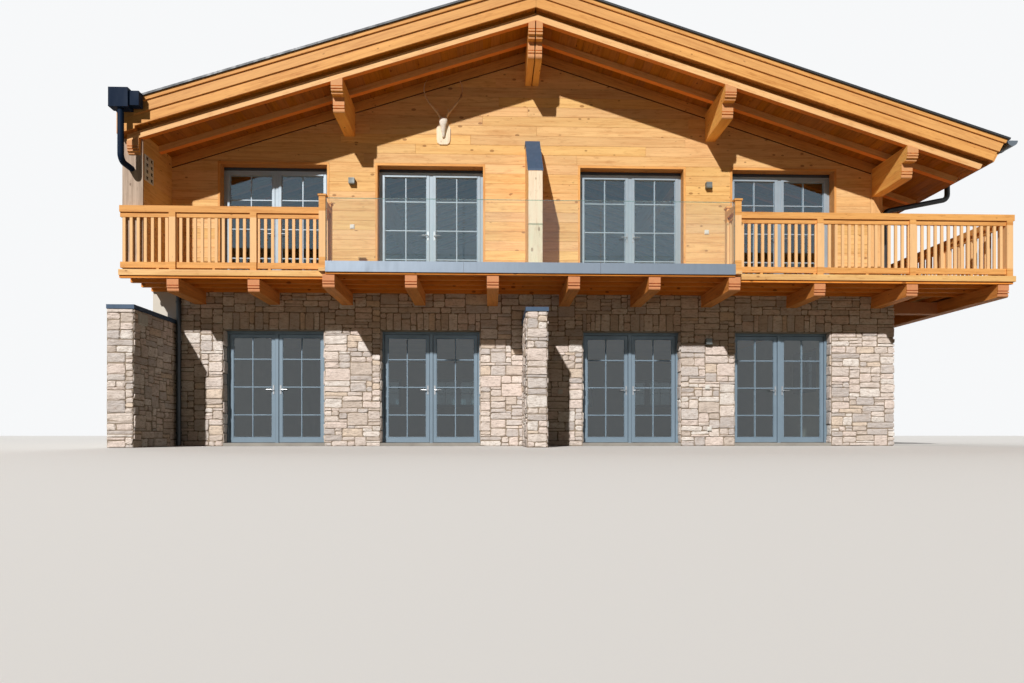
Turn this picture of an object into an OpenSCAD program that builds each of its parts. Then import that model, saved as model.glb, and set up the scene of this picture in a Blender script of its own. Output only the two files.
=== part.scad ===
// Alpine chalet, the end house of a row: a stone ground storey, a timber upper storey, a wide gable
// roof on carved purlins and a balcony that runs along the front and round the free side.
// Millimetres. X runs to the right along the front, Y into the house and Z up.
// The origin is on the ground, under the ridge and midway between the front and back walls.

/* [House] */
// Twice the distance from the ridge line to the stone side wall's face
house_w = 14100; // [13900:50:14600]
// How much further from the ridge line the party wall's face lies
party_extra = 80; // [0:10:120]
// Depth over the front and back walls
house_d = 11600; // [10800:100:12600]
// Height from floor to floor
storey_h = 3000; // [2960:10:3100]
// Thickness of the stone walls
stone_t = 400; // [350:10:450]
// Thickness of the timber walls
timber_t = 280; // [240:10:320]
// Thickness of the party wall at the left
party_t = 430; // [400:10:450]
// Thickness of the timber wing wall over it
wing_t = 340; // [320:10:380]
// How far the timber side wall stands in from the stone one
side_set_in = 230; // [200:10:260]
// Thickness of the ground floor, which rests on the ground
ground_floor_t = 60; // [40:5:90]
// Thickness of the upper floor
upper_floor_t = 240; // [200:10:280]

/* [Doors and windows] */
// Distance from the ridge line to the middle of the inner openings
inner_opening_x = 1930; // [1880:10:1980]
// Distance from the ridge line to the middle of the outer openings
outer_opening_x = 4880; // [4840:10:4920]
// Width of the doorways
opening_w = 1900; // [1840:10:1960]
// Width of the front windows
window_w = 2000; // [1900:10:2040]
// Height of the doorways above the ground
door_head = 2200; // [2150:10:2250]
// Height of the front windows above the upper floor
window_head = 2330; // [2250:10:2360]
// Depth of the reveal in front of the doors and windows
reveal = 180; // [140:10:190]
// Width of the fixed frame's bars
frame_w = 50; // [45:5:60]
// Depth of the fixed frames
frame_t = 80; // [75:5:90]
// Width of the post between the two leaves
mullion_w = 60; // [50:5:80]
// Thickness of a leaf
leaf_t = 60; // [50:5:65]
// Width of a leaf's stiles and top rail
stile_w = 60; // [50:5:80]
// Height of a leaf's bottom rail
bottom_rail_h = 95; // [80:5:120]
// Running gap round each door leaf
leaf_gap = 8; // [8:1:12]
// Height of a window sash's upper and lower rail
window_rail_h = 40; // [30:5:60]
// Height of a door hinge
hinge_h = 90; // [70:10:120]
// Distance from a leaf's foot and head to the middle of the nearest hinge
hinge_inset = 250; // [150:10:350]
// Thickness of the glass
glass_t = 24; // [20:1:30]
// Height of the dark shutter box over each window
shutter_box_h = 60; // [40:5:90]
// Width of the casing round each upper window
casing_w = 40; // [30:5:50]
// How far the casing stands out from the wall
casing_t = 20; // [15:1:30]
// Width of the small windows in the back and side walls
small_window_w = 1200; // [1000:20:1400]
// Height of the small windows upstairs
small_window_h = 800; // [700:20:840]
// Height of the small windows of the ground storey
ground_window_h = 1000; // [900:20:1100]
// Height of the wall between the small windows upstairs and the rafters
small_window_drop = 640; // [600:10:700]

/* [Roof] */
// Pitch of the roof in degrees
pitch = 17.5; // [17:0.1:18]
// Height of the soffit boarding over the side wall, above the upper floor
wall_soffit = 2425; // [2360:5:2500]
// Height of a rafter, measured upright
rafter_h = 120; // [100:5:140]
// Width of a rafter
rafter_w = 100; // [80:5:120]
// Distance between rafters
rafter_pitch = 626; // [600:2:650]
// How far the rafter tails stand out past the stone side wall
tail_reach = 950; // [850:10:1050]
// How far the roof stands out past the front and back walls
verge_reach = 1300; // [1200:10:1400]
// Radius of the hollow cut under each rafter tail
tail_hollow = 30; // [20:5:60]
// How far the roof's upper edge stands out past the stone side wall
eaves_reach = 1280; // [1200:10:1350]
// How far the end of the roof leans out, as a share of its height
eaves_lean = 0.45; // [0.3:0.01:0.5]
// Thickness of the boarding on the rafters, measured upright
boarding_t = 45; // [35:5:60]
// Heights of the three verge boards over it, measured upright from the lowest
verge_heights = [183, 173, 70]; // [60:1:220]
// How far each verge board stands out past the one below
verge_step = 25; // [15:5:40]
// How much further down the slope each verge board runs than the one below
verge_end_step = 20; // [10:5:40]
// How far the flying rafter stands back from the verge's face
verge_recess = 164; // [150:2:220]
// Thickness of the roof covering, measured upright
cover_t = 36; // [30:2:60]
// How far the covering stands out past the verge and the eaves
cover_lip = 30; // [20:5:40]
// Width of the slot along the ridge, under the ridge cap
ridge_slot = 20; // [10:2:30]
// Plumb joint where the verge boards meet at the ridge
verge_joint = 2; // [1:1:5]
// How far the ridge cap reaches down each slope
ridge_cap_w = 220; // [180:10:260]
// Thickness of the sheet of the ridge cap
ridge_cap_t = 8; // [5:1:12]

/* [Purlins] */
// Width of a side purlin
purlin_w = 200; // [180:10:200]
// Height of each of the two beams of a side purlin
purlin_beam_h = 265; // [240:5:280]
// Distance from the ridge line to the middle purlins
middle_purlin_x = 3450; // [3420:10:3480]
// Thickness of each ply of the ridge purlin
ridge_ply_t = 115; // [100:5:130]
// Gap between the two plies of the ridge purlin
ridge_ply_gap = 20; // [10:2:30]
// Height of each of the two beams of the ridge purlin
ridge_beam_h = 285; // [260:5:300]
// How far the purlins reach out past the front and back walls
purlin_reach = 1150; // [1100:10:1180]
// How much shorter the lower beam of a purlin is
purlin_step_back = 170; // [140:10:200]
// Depth and height of the two small grooves in each carved beam end
end_groove = 15; // [10:1:20]
// Share of a beam end's height under the grooves that is hollowed or rounded
end_round = 0.6; // [0.4:0.1:0.9]
// Upright face of a purlin's carved end
purlin_end_flat = 140; // [120:5:165]

/* [Balcony] */
// How far the wooden balcony stands out from the front wall
wood_reach = 1200; // [1150:10:1250]
// How far the glass balcony stands out from the front wall
glass_reach = 1600; // [1550:10:1700]
// How far the side balcony stands out from the stone wall
side_reach = 1510; // [1450:10:1560]
// How far the beam under the side balcony's edge stands back from it
edge_beam_set_in = 90; // [60:10:120]
// Distance from the ridge line to the left end of the glass balcony
glass_left = 3540; // [3480:10:3600]
// Distance from the ridge line to the right end of the glass balcony
glass_right = 3370; // [3340:10:3400]
// Width of a bracket
bracket_w = 200; // [180:10:220]
// Height of a bracket
bracket_h = 230; // [210:5:250]
// Upright face of a bracket's carved end
bracket_end_flat = 112; // [100:2:130]
// How far a bracket stands back from the deck's edge
bracket_set_in = 50; // [30:5:80]
// How far a bracket is let into the stone wall
bracket_bite = 250; // [200:10:300]
// Distance between the brackets left of the glass balcony's right end
bracket_pitch = 1373; // [1366:1:1380]
// Distance between the brackets of the right and side balconies
side_bracket_pitch = 1670; // [1660:5:1680]
// Thickness of the deck boards
deck_t = 30; // [25:1:35]
// Height of the joists under the deck
joist_h = 70; // [60:5:80]
// Width of a joist
joist_w = 60; // [50:5:80]
// Height of the board along the deck's edge
edge_board_h = 100; // [90:5:110]
// Thickness of the board along the deck's edge
edge_board_t = 30; // [25:1:40]
// How far the edge boards stand up past the deck
edge_board_rise = 40; // [20:5:60]

/* [Railings] */
// Height of the handrail above the deck
rail_top = 1140; // [1100:10:1180]
// Height of the handrail itself
handrail_h = 110; // [90:5:120]
// Thickness of the handrail
handrail_t = 110; // [70:5:120]
// How far the handrail runs past the corner post
handrail_lip = 30; // [20:5:40]
// Height of the rail under the handrail
sub_rail_h = 80; // [70:5:90]
// Height of the bottom rail
foot_rail_h = 100; // [90:5:110]
// Gap under the bottom rail
foot_gap = 80; // [60:5:100]
// Thickness of the lower rails
rail_t = 50; // [45:5:60]
// Width of a baluster
baluster_w = 48; // [40:2:60]
// Thickness of a baluster
baluster_t = 30; // [25:1:40]
// Distance between balusters
baluster_pitch = 120; // [110:2:140]
// Side of a railing post
post_w = 110; // [100:5:120]
// How far the capped posts stand above the handrail
post_rise = 60; // [40:5:80]
// Thickness of a post cap
post_cap_t = 30; // [20:5:40]
// How far a post cap stands out past its post
post_cap_lip = 15; // [5:5:25]
// Height of the glass above the deck
glass_top = 1170; // [1080:10:1200]
// Thickness of the glass in the balcony
balcony_glass_t = 18; // [16:1:22]
// Height of the metal channel that holds the glass
channel_h = 180; // [160:10:230]
// Height of the channel's upper edge above the deck
channel_rise = 110; // [80:5:120]
// Thickness of the metal channel's face
channel_t = 30; // [20:2:40]
// Number of glass panes
glass_panes = 3; // [2:1:4]
// Joint between the glass panes
pane_gap = 20; // [15:1:30]
// Joint between the lengths of the metal channel
channel_joint = 4; // [2:1:6]

/* [Screens] */
// How far the stone screens stand out from the wall
screen_reach = 1540; // [1450:10:1580]
// Height of the stone screens
screen_h = 2300; // [2200:10:2350]
// Thickness of the stone divider
divider_t = 340; // [300:10:380]
// Thickness of the metal caps
cap_t = 70; // [50:5:80]
// How far the metal caps stand out past the stone
cap_lip = 25; // [15:5:30]
// How far the timber divider stands out from the wall
divider_reach = 1120; // [1080:10:1140]
// Thickness of the timber divider
timber_divider_t = 225; // [200:5:250]
// Height of the timber divider's front edge above the deck
divider_low = 1840; // [1800:10:1900]
// Height of the timber divider's back above the deck
divider_high = 2680; // [2600:10:2720]

/* [Rainwater] */
// Outer radius of the eaves gutter
gutter_r = 95; // [80:5:110]
// Thickness of the gutter sheet
sheet_t = 6; // [5:1:8]
// Radius of the downpipes
pipe_r = 50; // [40:2:55]
// Gap between a downpipe and the stone wall
pipe_stand_off = 30; // [20:5:50]
// Gap round a downpipe where it passes through the deck
pipe_hole_gap = 5; // [4:1:10]
// Distance from the front wall's face to the downpipe
pipe_set_back = 420; // [400:10:500]
// How far the downpipe's bend under the gutter lies below the soffit's end
pipe_drop = 56; // [50:2:90]
// Radius of the bends in the downpipes, to the middle of the pipe
bend_r = 120; // [80:5:140]
// Fall of the downpipe's length under the eaves, as a share of its run
pipe_fall = 0.2; // [0.1:0.05:0.4]
// Width of the gutter in the valley
valley_w = 300; // [260:10:340]
// Depth of the gutter in the valley
valley_h = 200; // [160:10:240]
// Height of the rainwater hopper
hopper_h = 320; // [280:10:360]
// How far the hopper stands up past the roof covering
hopper_rise = 60; // [40:5:100]
// Depth of the rainwater hopper
hopper_d = 180; // [150:10:220]
// How much wider the hopper is than the gutter in the valley
hopper_extra_w = 20; // [10:5:40]
// Width of the small box beside the hopper
side_box_w = 160; // [120:10:200]
// How far the small box's edges lie inside the hopper's height
side_box_inset = 40; // [20:5:60]
// Height of the hopper pipe's turn above the upper floor
elbow_h = 1800; // [1700:20:1900]

/* [Lamps] */
// Side of a cube lamp
lamp_size = 110; // [90:5:130]
// Height of the lamps above each floor
lamp_h = 1950; // [1800:10:2050]

/* [Hidden] */
$fn = 48;
// Overlap that keeps a cut clean
eps = 1;

half_w = house_w / 2;
left_x = -half_w - party_extra;
front_y = -house_d / 2;
back_y = house_d / 2;
slope = tan(pitch);
party_in = left_x + party_t;
wing_in = left_x + wing_t;
stone_in = half_w - stone_t;
timber_x = half_w - side_set_in;
timber_in = timber_x - timber_t;

opening_xs = [-outer_opening_x, -inner_opening_x, inner_opening_x, outer_opening_x];
stone_edges = [party_in, for (x = opening_xs) each [x - opening_w / 2, x + opening_w / 2], half_w];
timber_edges = [party_in, for (x = opening_xs) each [x - window_w / 2, x + window_w / 2], timber_x];
head_z = storey_h + window_head;

ridge_soffit = storey_h + wall_soffit + timber_x * slope;
deck_h = boarding_t + verge_heights[0] + verge_heights[1] + verge_heights[2];
deck_front = front_y - verge_reach + 3 * verge_step;
eaves_x = half_w + eaves_reach;
soffit_end_x = eaves_x - deck_h * eaves_lean;
valley_x = left_x + valley_w;
valley_low = ridge_soffit + valley_x * slope + deck_h - valley_h;
rafter_reach = half_w + tail_reach;
flying_rafter_y = back_y + verge_reach - verge_recess - rafter_w / 2;
boarding_y = flying_rafter_y + rafter_w / 2;
rafter_half_count = round(flying_rafter_y / rafter_pitch);
gable_clear = (timber_t + rafter_w) / 2;
// The gable walls carry the roof themselves, so no rafter lies in them
rafter_ys = [for (i = [-rafter_half_count : rafter_half_count])
    let (y = flying_rafter_y * i / rafter_half_count)
        if (abs(abs(y) - back_y + timber_t / 2) > gable_clear) y];

left_purlin_x = left_x + party_t / 2;
right_purlin_x = timber_x - purlin_w / 2;

bracket_top = storey_h - deck_t - joist_h;
glass_left_x = -glass_left;
glass_right_x = glass_right;
left_bracket_xs = [for (k = [0 : 7]) glass_right_x - k * bracket_pitch];
right_bracket_xs = [for (k = [1 : 2]) glass_right_x + k * side_bracket_pitch];
edge_beam_x = half_w + side_reach - edge_beam_set_in - bracket_w / 2;
side_bracket_ys = [for (k = [0 : 6]) front_y + stone_t + bracket_w + k * side_bracket_pitch];
side_joist_x = half_w + pipe_stand_off + 2 * pipe_r + 50;
side_rail_x = half_w + side_reach;
wood_y = front_y - wood_reach;
glass_y = front_y - glass_reach;
wing_y = wood_y + edge_board_t + post_w;
foot_rail_z = storey_h + foot_gap;
baluster_z = foot_rail_z + foot_rail_h;
sub_rail_z = storey_h + rail_top - handrail_h - sub_rail_h;
handrail_z = storey_h + rail_top - handrail_h;

frame_y = front_y + reveal;
leaf_w = (opening_w - 2 * frame_w - mullion_w) / 2 - 2 * leaf_gap;
leaf_low = ground_floor_t + leaf_gap;
leaf_high = door_head - frame_w - leaf_gap;
box_z = head_z - shutter_box_h;
small_window_ys = [-house_d / 4, house_d / 4];
upper_sill = rafter_under(timber_x) - small_window_drop - small_window_h;
ground_sill = door_head - ground_window_h;

// Gap between the wall and the joist beside it
wall_gap = 5;
// How far the gutter's rim lies below the deck boards' upper edge
gutter_drop = 15;
gutter_x = eaves_x - gutter_drop * eaves_lean + gutter_r;
gutter_z = deck_top(eaves_x) - gutter_drop;
// Front end of the valley gutter, level with the covering's edge
trough_end_y = front_y - verge_reach - cover_lip;
pipe_x = half_w + pipe_r + pipe_stand_off;
pipe_y = front_y + pipe_set_back;
// Gap that keeps neighbouring pieces separate solids
seat = 0.3;

stone_colour = [0.80, 0.72, 0.60];
wood_colour = [0.88, 0.62, 0.34];
dark_wood_colour = [0.72, 0.47, 0.24];
metal_colour = [0.55, 0.62, 0.68];
dark_colour = [0.20, 0.22, 0.24];
frame_colour = [0.42, 0.50, 0.55];
glass_colour = [0.60, 0.72, 0.78, 0.5];

// Underside of the soffit boarding at a distance from the ridge line
function soffit(x) = ridge_soffit - abs(x) * slope;
// Underside of the rafters
function rafter_under(x) = soffit(x) - rafter_h;
// Highest edge of a purlin of width w
function purlin_top(x, w) = rafter_under(abs(x) - w / 2);
// Top of the boards that carry the covering
function deck_top(x) = soffit(x) + deck_h;

// A box between two corners
module block(low, high) {
    translate(low) cube(high - low);
}

// An outline drawn in X and Z, drawn out along Y
module along_y(y0, y1) {
    translate([0, y1, 0]) rotate([90, 0, 0]) linear_extrude(y1 - y0) children();
}

// An outline drawn in Y and Z, drawn out along X
module along_x(x0, x1) {
    translate([x0, 0, 0]) rotate([90, 0, 90]) linear_extrude(x1 - x0) children();
}

// A board that follows the roof between two distances from the ridge, offset up from the soffit
module roof_board(x0, x1, low, high, y0, y1) {
    along_y(y0, y1) polygon([
        [x0, soffit(x0) + low],
        [x1, soffit(x1) + low],
        [x1, soffit(x1) + high],
        [x0, soffit(x0) + high]
    ]);
}

// The same board down the right slope, its lower end cut square to the slope
module square_ended_board(x0, x1, low, high, y0, y1) {
    along_y(y0, y1) polygon([
        [x0, soffit(x0) + low],
        [x1 + low * eaves_lean, soffit(x1 + low * eaves_lean) + low],
        [x1 + high * eaves_lean, soffit(x1 + high * eaves_lean) + high],
        [x0, soffit(x0) + high]
    ]);
}

// The same thing at the front and at the back
module front_and_back() {
    children();
    mirror([0, 1, 0]) children();
}

// Lower corner cut from a beam whose tip is at the origin and whose height is h.
// The cut leaves an upright face, two grooves with a bead between them, a lower face that stands back a
// little, and a hollow or a round under it.
module beam_end_cut(h, flat, round_hollow) {
    grooves_low = flat + 4 * end_groove;
    r = (h - grooves_low) * end_round;
    step = end_groove;
    for (z = [flat + end_groove, grooves_low])
        translate([-eps, -z]) square([2 * step + eps, end_groove]);
    translate([-eps, -h - eps]) square([step + eps, h - grooves_low + end_groove]);
    if (round_hollow) {
        intersection() {
            translate([step, -h]) circle(r);
            translate([0, -h - eps]) square([step + r + eps, r + 2 * eps]);
        }
    } else {
        difference() {
            translate([step - eps, -h - eps]) square([r + eps, r + eps]);
            translate([step + r, -h + r]) circle(r);
        }
    }
}

// Side view of a beam with one carved end at y0, drawn in Y and Z
module carved_beam_2d(y0, y1, top, h, flat, round_hollow) {
    difference() {
        translate([y0, top - h]) square([y1 - y0, h]);
        translate([y0, top]) beam_end_cut(h, flat, round_hollow);
    }
}

// Side view of a beam with both ends carved
module purlin_beam_2d(reach, top, h, round_hollow) {
    intersection() {
        carved_beam_2d(front_y - reach, back_y + reach, top, h, purlin_end_flat, round_hollow);
        mirror([1, 0])
            carved_beam_2d(front_y - reach, back_y + reach, top, h, purlin_end_flat, round_hollow);
    }
}

// Two carved beams, one on the other, the lower one shorter; the top follows the rafters
module purlin(x, w, beam_h) {
    top = purlin_top(x, w);
    intersection() {
        along_x(x - w / 2, x + w / 2) {
            purlin_beam_2d(purlin_reach, top, beam_h, true);
            purlin_beam_2d(purlin_reach - purlin_step_back, top - beam_h, beam_h, false);
        }
        along_y(front_y - purlin_reach - eps, back_y + purlin_reach + eps) polygon([
            [x - w / 2, 0],
            [x + w / 2, 0],
            [x + w / 2, rafter_under(x + w / 2) - seat],
            [x - w / 2, rafter_under(x - w / 2) - seat]
        ]);
    }
}

module side_purlins() {
    color(wood_colour)
        for (x = [left_purlin_x, -middle_purlin_x, middle_purlin_x, right_purlin_x])
            purlin(x, purlin_w, purlin_beam_h);
}

module ridge_purlin() {
    color(wood_colour)
        for (side = [-1, 1])
            purlin(side * (ridge_ply_gap + ridge_ply_t) / 2, ridge_ply_t, ridge_beam_h);
}

module left_rafters() {
    color(wood_colour)
        for (y = rafter_ys)
            roof_board(left_purlin_x - purlin_w / 2, 0, -rafter_h, -seat,
                y - rafter_w / 2, y + rafter_w / 2);
}

module right_rafters() {
    color(wood_colour)
        for (y = rafter_ys)
            difference() {
                square_ended_board(0, rafter_reach, -rafter_h, -seat, y - rafter_w / 2, y + rafter_w / 2);
                translate([rafter_reach - rafter_h * eaves_lean, y, rafter_under(rafter_reach)])
                    rotate([90, 0, 0])
                        cylinder(r = tail_hollow, h = rafter_w + 2 * eps, center = true);
            }
}

// Rafters and purlin seats cut from a side wall; the seats stay open up to the soffit
module side_wall_pockets() {
    left_rafters();
    right_rafters();
    for (x = [left_purlin_x, right_purlin_x]) {
        low_x = x - purlin_w / 2;
        high_x = x + purlin_w / 2 + (x > 0 ? eps : 0);
        seat_z = purlin_top(x, purlin_w) - 2 * purlin_beam_h;
        along_y(front_y - eps, back_y + eps) polygon([
            [low_x, seat_z],
            [high_x, seat_z],
            [high_x, soffit(high_x) + eps],
            [low_x, soffit(low_x) + eps]
        ]);
    }
}

// Everything that passes through the end walls under the roof
module roof_timbers() {
    ridge_purlin();
    side_purlins();
    left_rafters();
    right_rafters();
}

// Roof boarding under the gutter in the valley
module valley_board(y0, y1) {
    along_y(y0, y1) polygon([
        [left_x, soffit(left_x)],
        [valley_x - seat, soffit(valley_x - seat)],
        [valley_x - seat, valley_low - seat],
        [left_x, valley_low - seat]
    ]);
}

// Boarding on the rafters, and over it the thick layer that carries the covering and the verge boards
module roof_deck() {
    color(wood_colour) {
        valley_board(deck_front, -deck_front);
        roof_board(valley_x, -ridge_slot / 2, 0, boarding_t - seat, -boarding_y, boarding_y);
        square_ended_board(ridge_slot / 2, soffit_end_x - edge_board_t, 0, boarding_t - seat,
            -boarding_y, boarding_y);
        roof_board(valley_x, -ridge_slot / 2, boarding_t, deck_h - seat, deck_front, -deck_front);
        square_ended_board(ridge_slot / 2, soffit_end_x - edge_board_t, boarding_t, deck_h - seat,
            deck_front, -deck_front);
    }
}

module roof_covering() {
    color(dark_colour) {
        roof_board(valley_x, -ridge_slot / 2, deck_h, deck_h + cover_t,
            front_y - verge_reach - cover_lip, back_y + verge_reach + cover_lip);
        square_ended_board(ridge_slot / 2, soffit_end_x + cover_lip, deck_h, deck_h + cover_t,
            front_y - verge_reach - cover_lip, back_y + verge_reach + cover_lip);
    }
}

// Three boards, each standing out past the one below and reaching further down the slope
module verge_boards() {
    color(wood_colour) front_and_back() {
        for (k = [0 : 2]) {
            low = boarding_t + (k > 0 ? verge_heights[0] : 0) + (k > 1 ? verge_heights[1] : 0);
            face = deck_front - (k + 1) * verge_step;
            square_ended_board(verge_joint, soffit_end_x - (2 - k) * verge_end_step, low, deck_h - seat,
                face, deck_front);
            roof_board(valley_x, -verge_joint, low, deck_h - seat, face, deck_front);
        }
        valley_board(deck_front - verge_step, deck_front);
    }
}

module eaves_board() {
    color(wood_colour)
        along_y(deck_front, -deck_front) polygon([
            for (p = [[0, boarding_t], [1, boarding_t], [1, deck_h - seat], [0, deck_h - seat]])
                let (x = soffit_end_x - edge_board_t * (1 - p[0]) + p[1] * eaves_lean)
                    [x, soffit(x) + p[1]]
        ]);
}

// One sheet down each slope, with a joint along the ridge
module ridge_cap() {
    low = deck_h + cover_t + seat;
    color(dark_colour)
        for (side = [-1, 1])
            roof_board(side * seat, side * ridge_cap_w, low, low + ridge_cap_t,
                front_y - verge_reach - cover_lip, back_y + verge_reach + cover_lip);
}

// Half-round gutter along the eaves, closed at both ends
module eaves_gutter() {
    color(metal_colour) {
        along_y(front_y - verge_reach, back_y + verge_reach)
            difference() {
                translate([gutter_x, gutter_z]) circle(gutter_r);
                translate([gutter_x, gutter_z]) circle(gutter_r - sheet_t);
                translate([gutter_x - gutter_r - eps, gutter_z])
                    square([2 * gutter_r + 2 * eps, gutter_r + eps]);
            }
        front_and_back()
            along_y(front_y - verge_reach, front_y - verge_reach + sheet_t)
                difference() {
                    translate([gutter_x, gutter_z]) circle(gutter_r);
                    translate([gutter_x - gutter_r - eps, gutter_z])
                        square([2 * gutter_r + 2 * eps, gutter_r + eps]);
                }
    }
}

// Bend of a pipe about the origin, in the X and Y plane
module pipe_bend(from_angle, sweep) {
    rotate([0, 0, from_angle])
        rotate_extrude(angle = sweep)
            translate([bend_r, 0]) circle(pipe_r);
}

// Straight length of pipe between two points in X and Z, parted from the bends at its ends
module pipe_run(from, to, y, r) {
    run = to - from;
    translate([from[0], y, from[1]])
        rotate([0, atan2(run[0], run[1]), 0])
            translate([0, 0, seat])
                cylinder(r = r, h = norm(run) - 2 * seat);
}

// Downpipe that leaves the gutter, leans in under the eaves and runs down the stone wall
module right_downpipe() {
    fall_angle = atan(pipe_fall);
    turn = 90 - fall_angle;
    tangent = bend_r * tan(turn / 2);
    top = [gutter_x, soffit(soffit_end_x) - pipe_drop];
    low = [pipe_x, top[1] - (gutter_x - pipe_x) * pipe_fall];
    along = [-cos(fall_angle), -sin(fall_angle)];
    color(metal_colour) {
        pipe_run(top + [0, tangent], [gutter_x, gutter_z - gutter_r], pipe_y, pipe_r);
        translate([top[0] - bend_r, pipe_y, top[1] + tangent]) rotate([90, 0, 0]) pipe_bend(-turn, turn);
        pipe_run(top + along * tangent, low - along * tangent, pipe_y, pipe_r);
        translate([low[0] + bend_r, pipe_y, low[1] - tangent]) rotate([90, 0, 0])
            pipe_bend(90 + fall_angle, turn);
        pipe_run([pipe_x, 0], low - [0, tangent], pipe_y, pipe_r);
    }
}

// Trough of sheet metal let into the roof over the party wall, its sheets parted by narrow joints
module valley_gutter() {
    side_low = valley_low + sheet_t + seat;
    high = deck_top(valley_x) + cover_t;
    y0 = trough_end_y;
    color(metal_colour) {
        block([left_x, y0, valley_low], [valley_x - seat, -y0, valley_low + sheet_t]);
        for (x = [left_x, valley_x - seat - sheet_t])
            block([x, y0, side_low], [x + sheet_t, -y0, high]);
        block([left_x + sheet_t + seat, -y0 - sheet_t, side_low],
            [valley_x - sheet_t - 2 * seat, -y0, high]);
    }
}

// Open box that catches the valley's water, a small box beside it, and the pipe back to the wing wall
module rain_hopper() {
    w = valley_w + hopper_extra_w;
    top = deck_top(valley_x) + cover_t + hopper_rise;
    low = top - hopper_h;
    y1 = trough_end_y;
    mid = [left_x + w / 2, y1 - hopper_d / 2];
    elbow_z = storey_h + elbow_h;
    color(metal_colour) {
        difference() {
            union() {
                block([left_x, y1 - hopper_d, low], [left_x + w, y1, top]);
                block([left_x + w - eps, y1 - hopper_d + side_box_inset, low + side_box_inset],
                    [left_x + w + side_box_w, y1, top - side_box_inset]);
            }
            block([left_x + sheet_t, y1 - hopper_d + sheet_t, low + sheet_t],
                [left_x + w - sheet_t, y1 - sheet_t, top + eps]);
            block([left_x + sheet_t, y1 - 2 * sheet_t, valley_low + sheet_t],
                [valley_x - seat - sheet_t, y1 + eps, deck_top(valley_x)]);
        }
        translate([mid[0], mid[1], elbow_z + bend_r]) cylinder(r = pipe_r, h = low - elbow_z - bend_r);
        translate([mid[0], mid[1] + bend_r, elbow_z + bend_r]) rotate([90, 0, 90]) pipe_bend(180, 90);
        translate([mid[0], mid[1] + bend_r, elbow_z]) rotate([-90, 0, 0])
            cylinder(r = pipe_r, h = wing_y - mid[1] - bend_r);
    }
}

module ground_floor() {
    color("lightgray") union() {
        block([party_in, front_y + stone_t, 0], [stone_in, back_y - stone_t, ground_floor_t]);
        for (x = opening_xs)
            block([x - opening_w / 2, front_y, 0], [x + opening_w / 2, front_y + stone_t, ground_floor_t]);
    }
}

module upper_floor() {
    color(wood_colour)
        block([party_in, front_y + stone_t, storey_h - upper_floor_t],
            [stone_in, back_y - stone_t, storey_h]);
}

// Stone walls of the ground storey
module front_stone_piers() {
    color(stone_colour)
        for (i = [0 : 4])
            block([stone_edges[2 * i], front_y, 0], [stone_edges[2 * i + 1], front_y + stone_t, door_head]);
}

module bracket_pockets() {
    for (x = concat(left_bracket_xs, right_bracket_xs))
        block([x - bracket_w / 2, front_y - eps, bracket_top - bracket_h],
            [x + bracket_w / 2, front_y + bracket_bite, bracket_top]);
}

module front_stone_lintel() {
    color(stone_colour) difference() {
        block([party_in, front_y, door_head], [half_w, front_y + stone_t, storey_h]);
        bracket_pockets();
    }
}

module right_stone_wall() {
    color(stone_colour) difference() {
        block([stone_in, front_y + stone_t, 0], [half_w, back_y - stone_t, storey_h]);
        for (y = small_window_ys)
            block([stone_in - eps, y - small_window_w / 2, ground_sill],
                [half_w + eps, y + small_window_w / 2, door_head]);
        side_bracket_pockets();
    }
}

module side_bracket_pockets() {
    for (y = side_bracket_ys)
        block([half_w - bracket_bite, y - bracket_w / 2, bracket_top - bracket_h],
            [half_w + eps, y + bracket_w / 2, bracket_top]);
}

module back_stone_wall() {
    color(stone_colour) difference() {
        block([party_in, back_y - stone_t, 0], [half_w, back_y, storey_h]);
        for (x = opening_xs)
            block([x - opening_w / 2, back_y - stone_t - eps, ground_sill],
                [x + opening_w / 2, back_y + eps, door_head]);
    }
}

module party_wall() {
    color("gainsboro") difference() {
        along_y(front_y, back_y) polygon([
            [left_x, 0],
            [party_in, 0],
            [party_in, soffit(party_in) - seat],
            [left_x, soffit(left_x) - seat]
        ]);
        side_wall_pockets();
    }
}

// Screens that stand out across the terrace
module stone_screens() {
    color(stone_colour) {
        block([left_x, front_y - screen_reach, 0], [party_in, front_y, screen_h]);
        block([-divider_t / 2, front_y - screen_reach, 0], [divider_t / 2, front_y, screen_h]);
    }
}

// Side view of the timber divider, drawn in Y and Z
module divider_2d() {
    rise = divider_high - divider_low;
    polygon([
        [front_y - divider_reach, storey_h],
        [front_y, storey_h],
        [front_y, storey_h + divider_high],
        [front_y - divider_reach + rise, storey_h + divider_high],
        [front_y - divider_reach, storey_h + divider_low]
    ]);
}

module timber_divider() {
    color(wood_colour) along_x(-timber_divider_t / 2, timber_divider_t / 2) divider_2d();
}

module timber_wing_wall() {
    color(wood_colour) difference() {
        along_y(wing_y, front_y) polygon([
            [left_x, storey_h],
            [wing_in, storey_h],
            [wing_in, soffit(wing_in) - seat],
            [left_x, soffit(left_x) - seat]
        ]);
        roof_timbers();
    }
}

module metal_wall_caps() {
    rise = divider_high - divider_low;
    color(metal_colour) {
        block([left_x, front_y - screen_reach - cap_lip, screen_h],
            [party_in + cap_lip, front_y, screen_h + cap_t]);
        block([-divider_t / 2 - cap_lip, front_y - screen_reach - cap_lip, screen_h],
            [divider_t / 2 + cap_lip, front_y, screen_h + cap_t]);
        along_x(-timber_divider_t / 2 - cap_lip, timber_divider_t / 2 + cap_lip) polygon([
            [front_y - divider_reach, storey_h + divider_low],
            [front_y - divider_reach + rise, storey_h + divider_high],
            [front_y, storey_h + divider_high],
            [front_y, storey_h + divider_high + cap_t / 2],
            [front_y - divider_reach + rise, storey_h + divider_high + cap_t / 2],
            [front_y - divider_reach, storey_h + divider_low + cap_t / 2]
        ]);
    }
}

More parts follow.
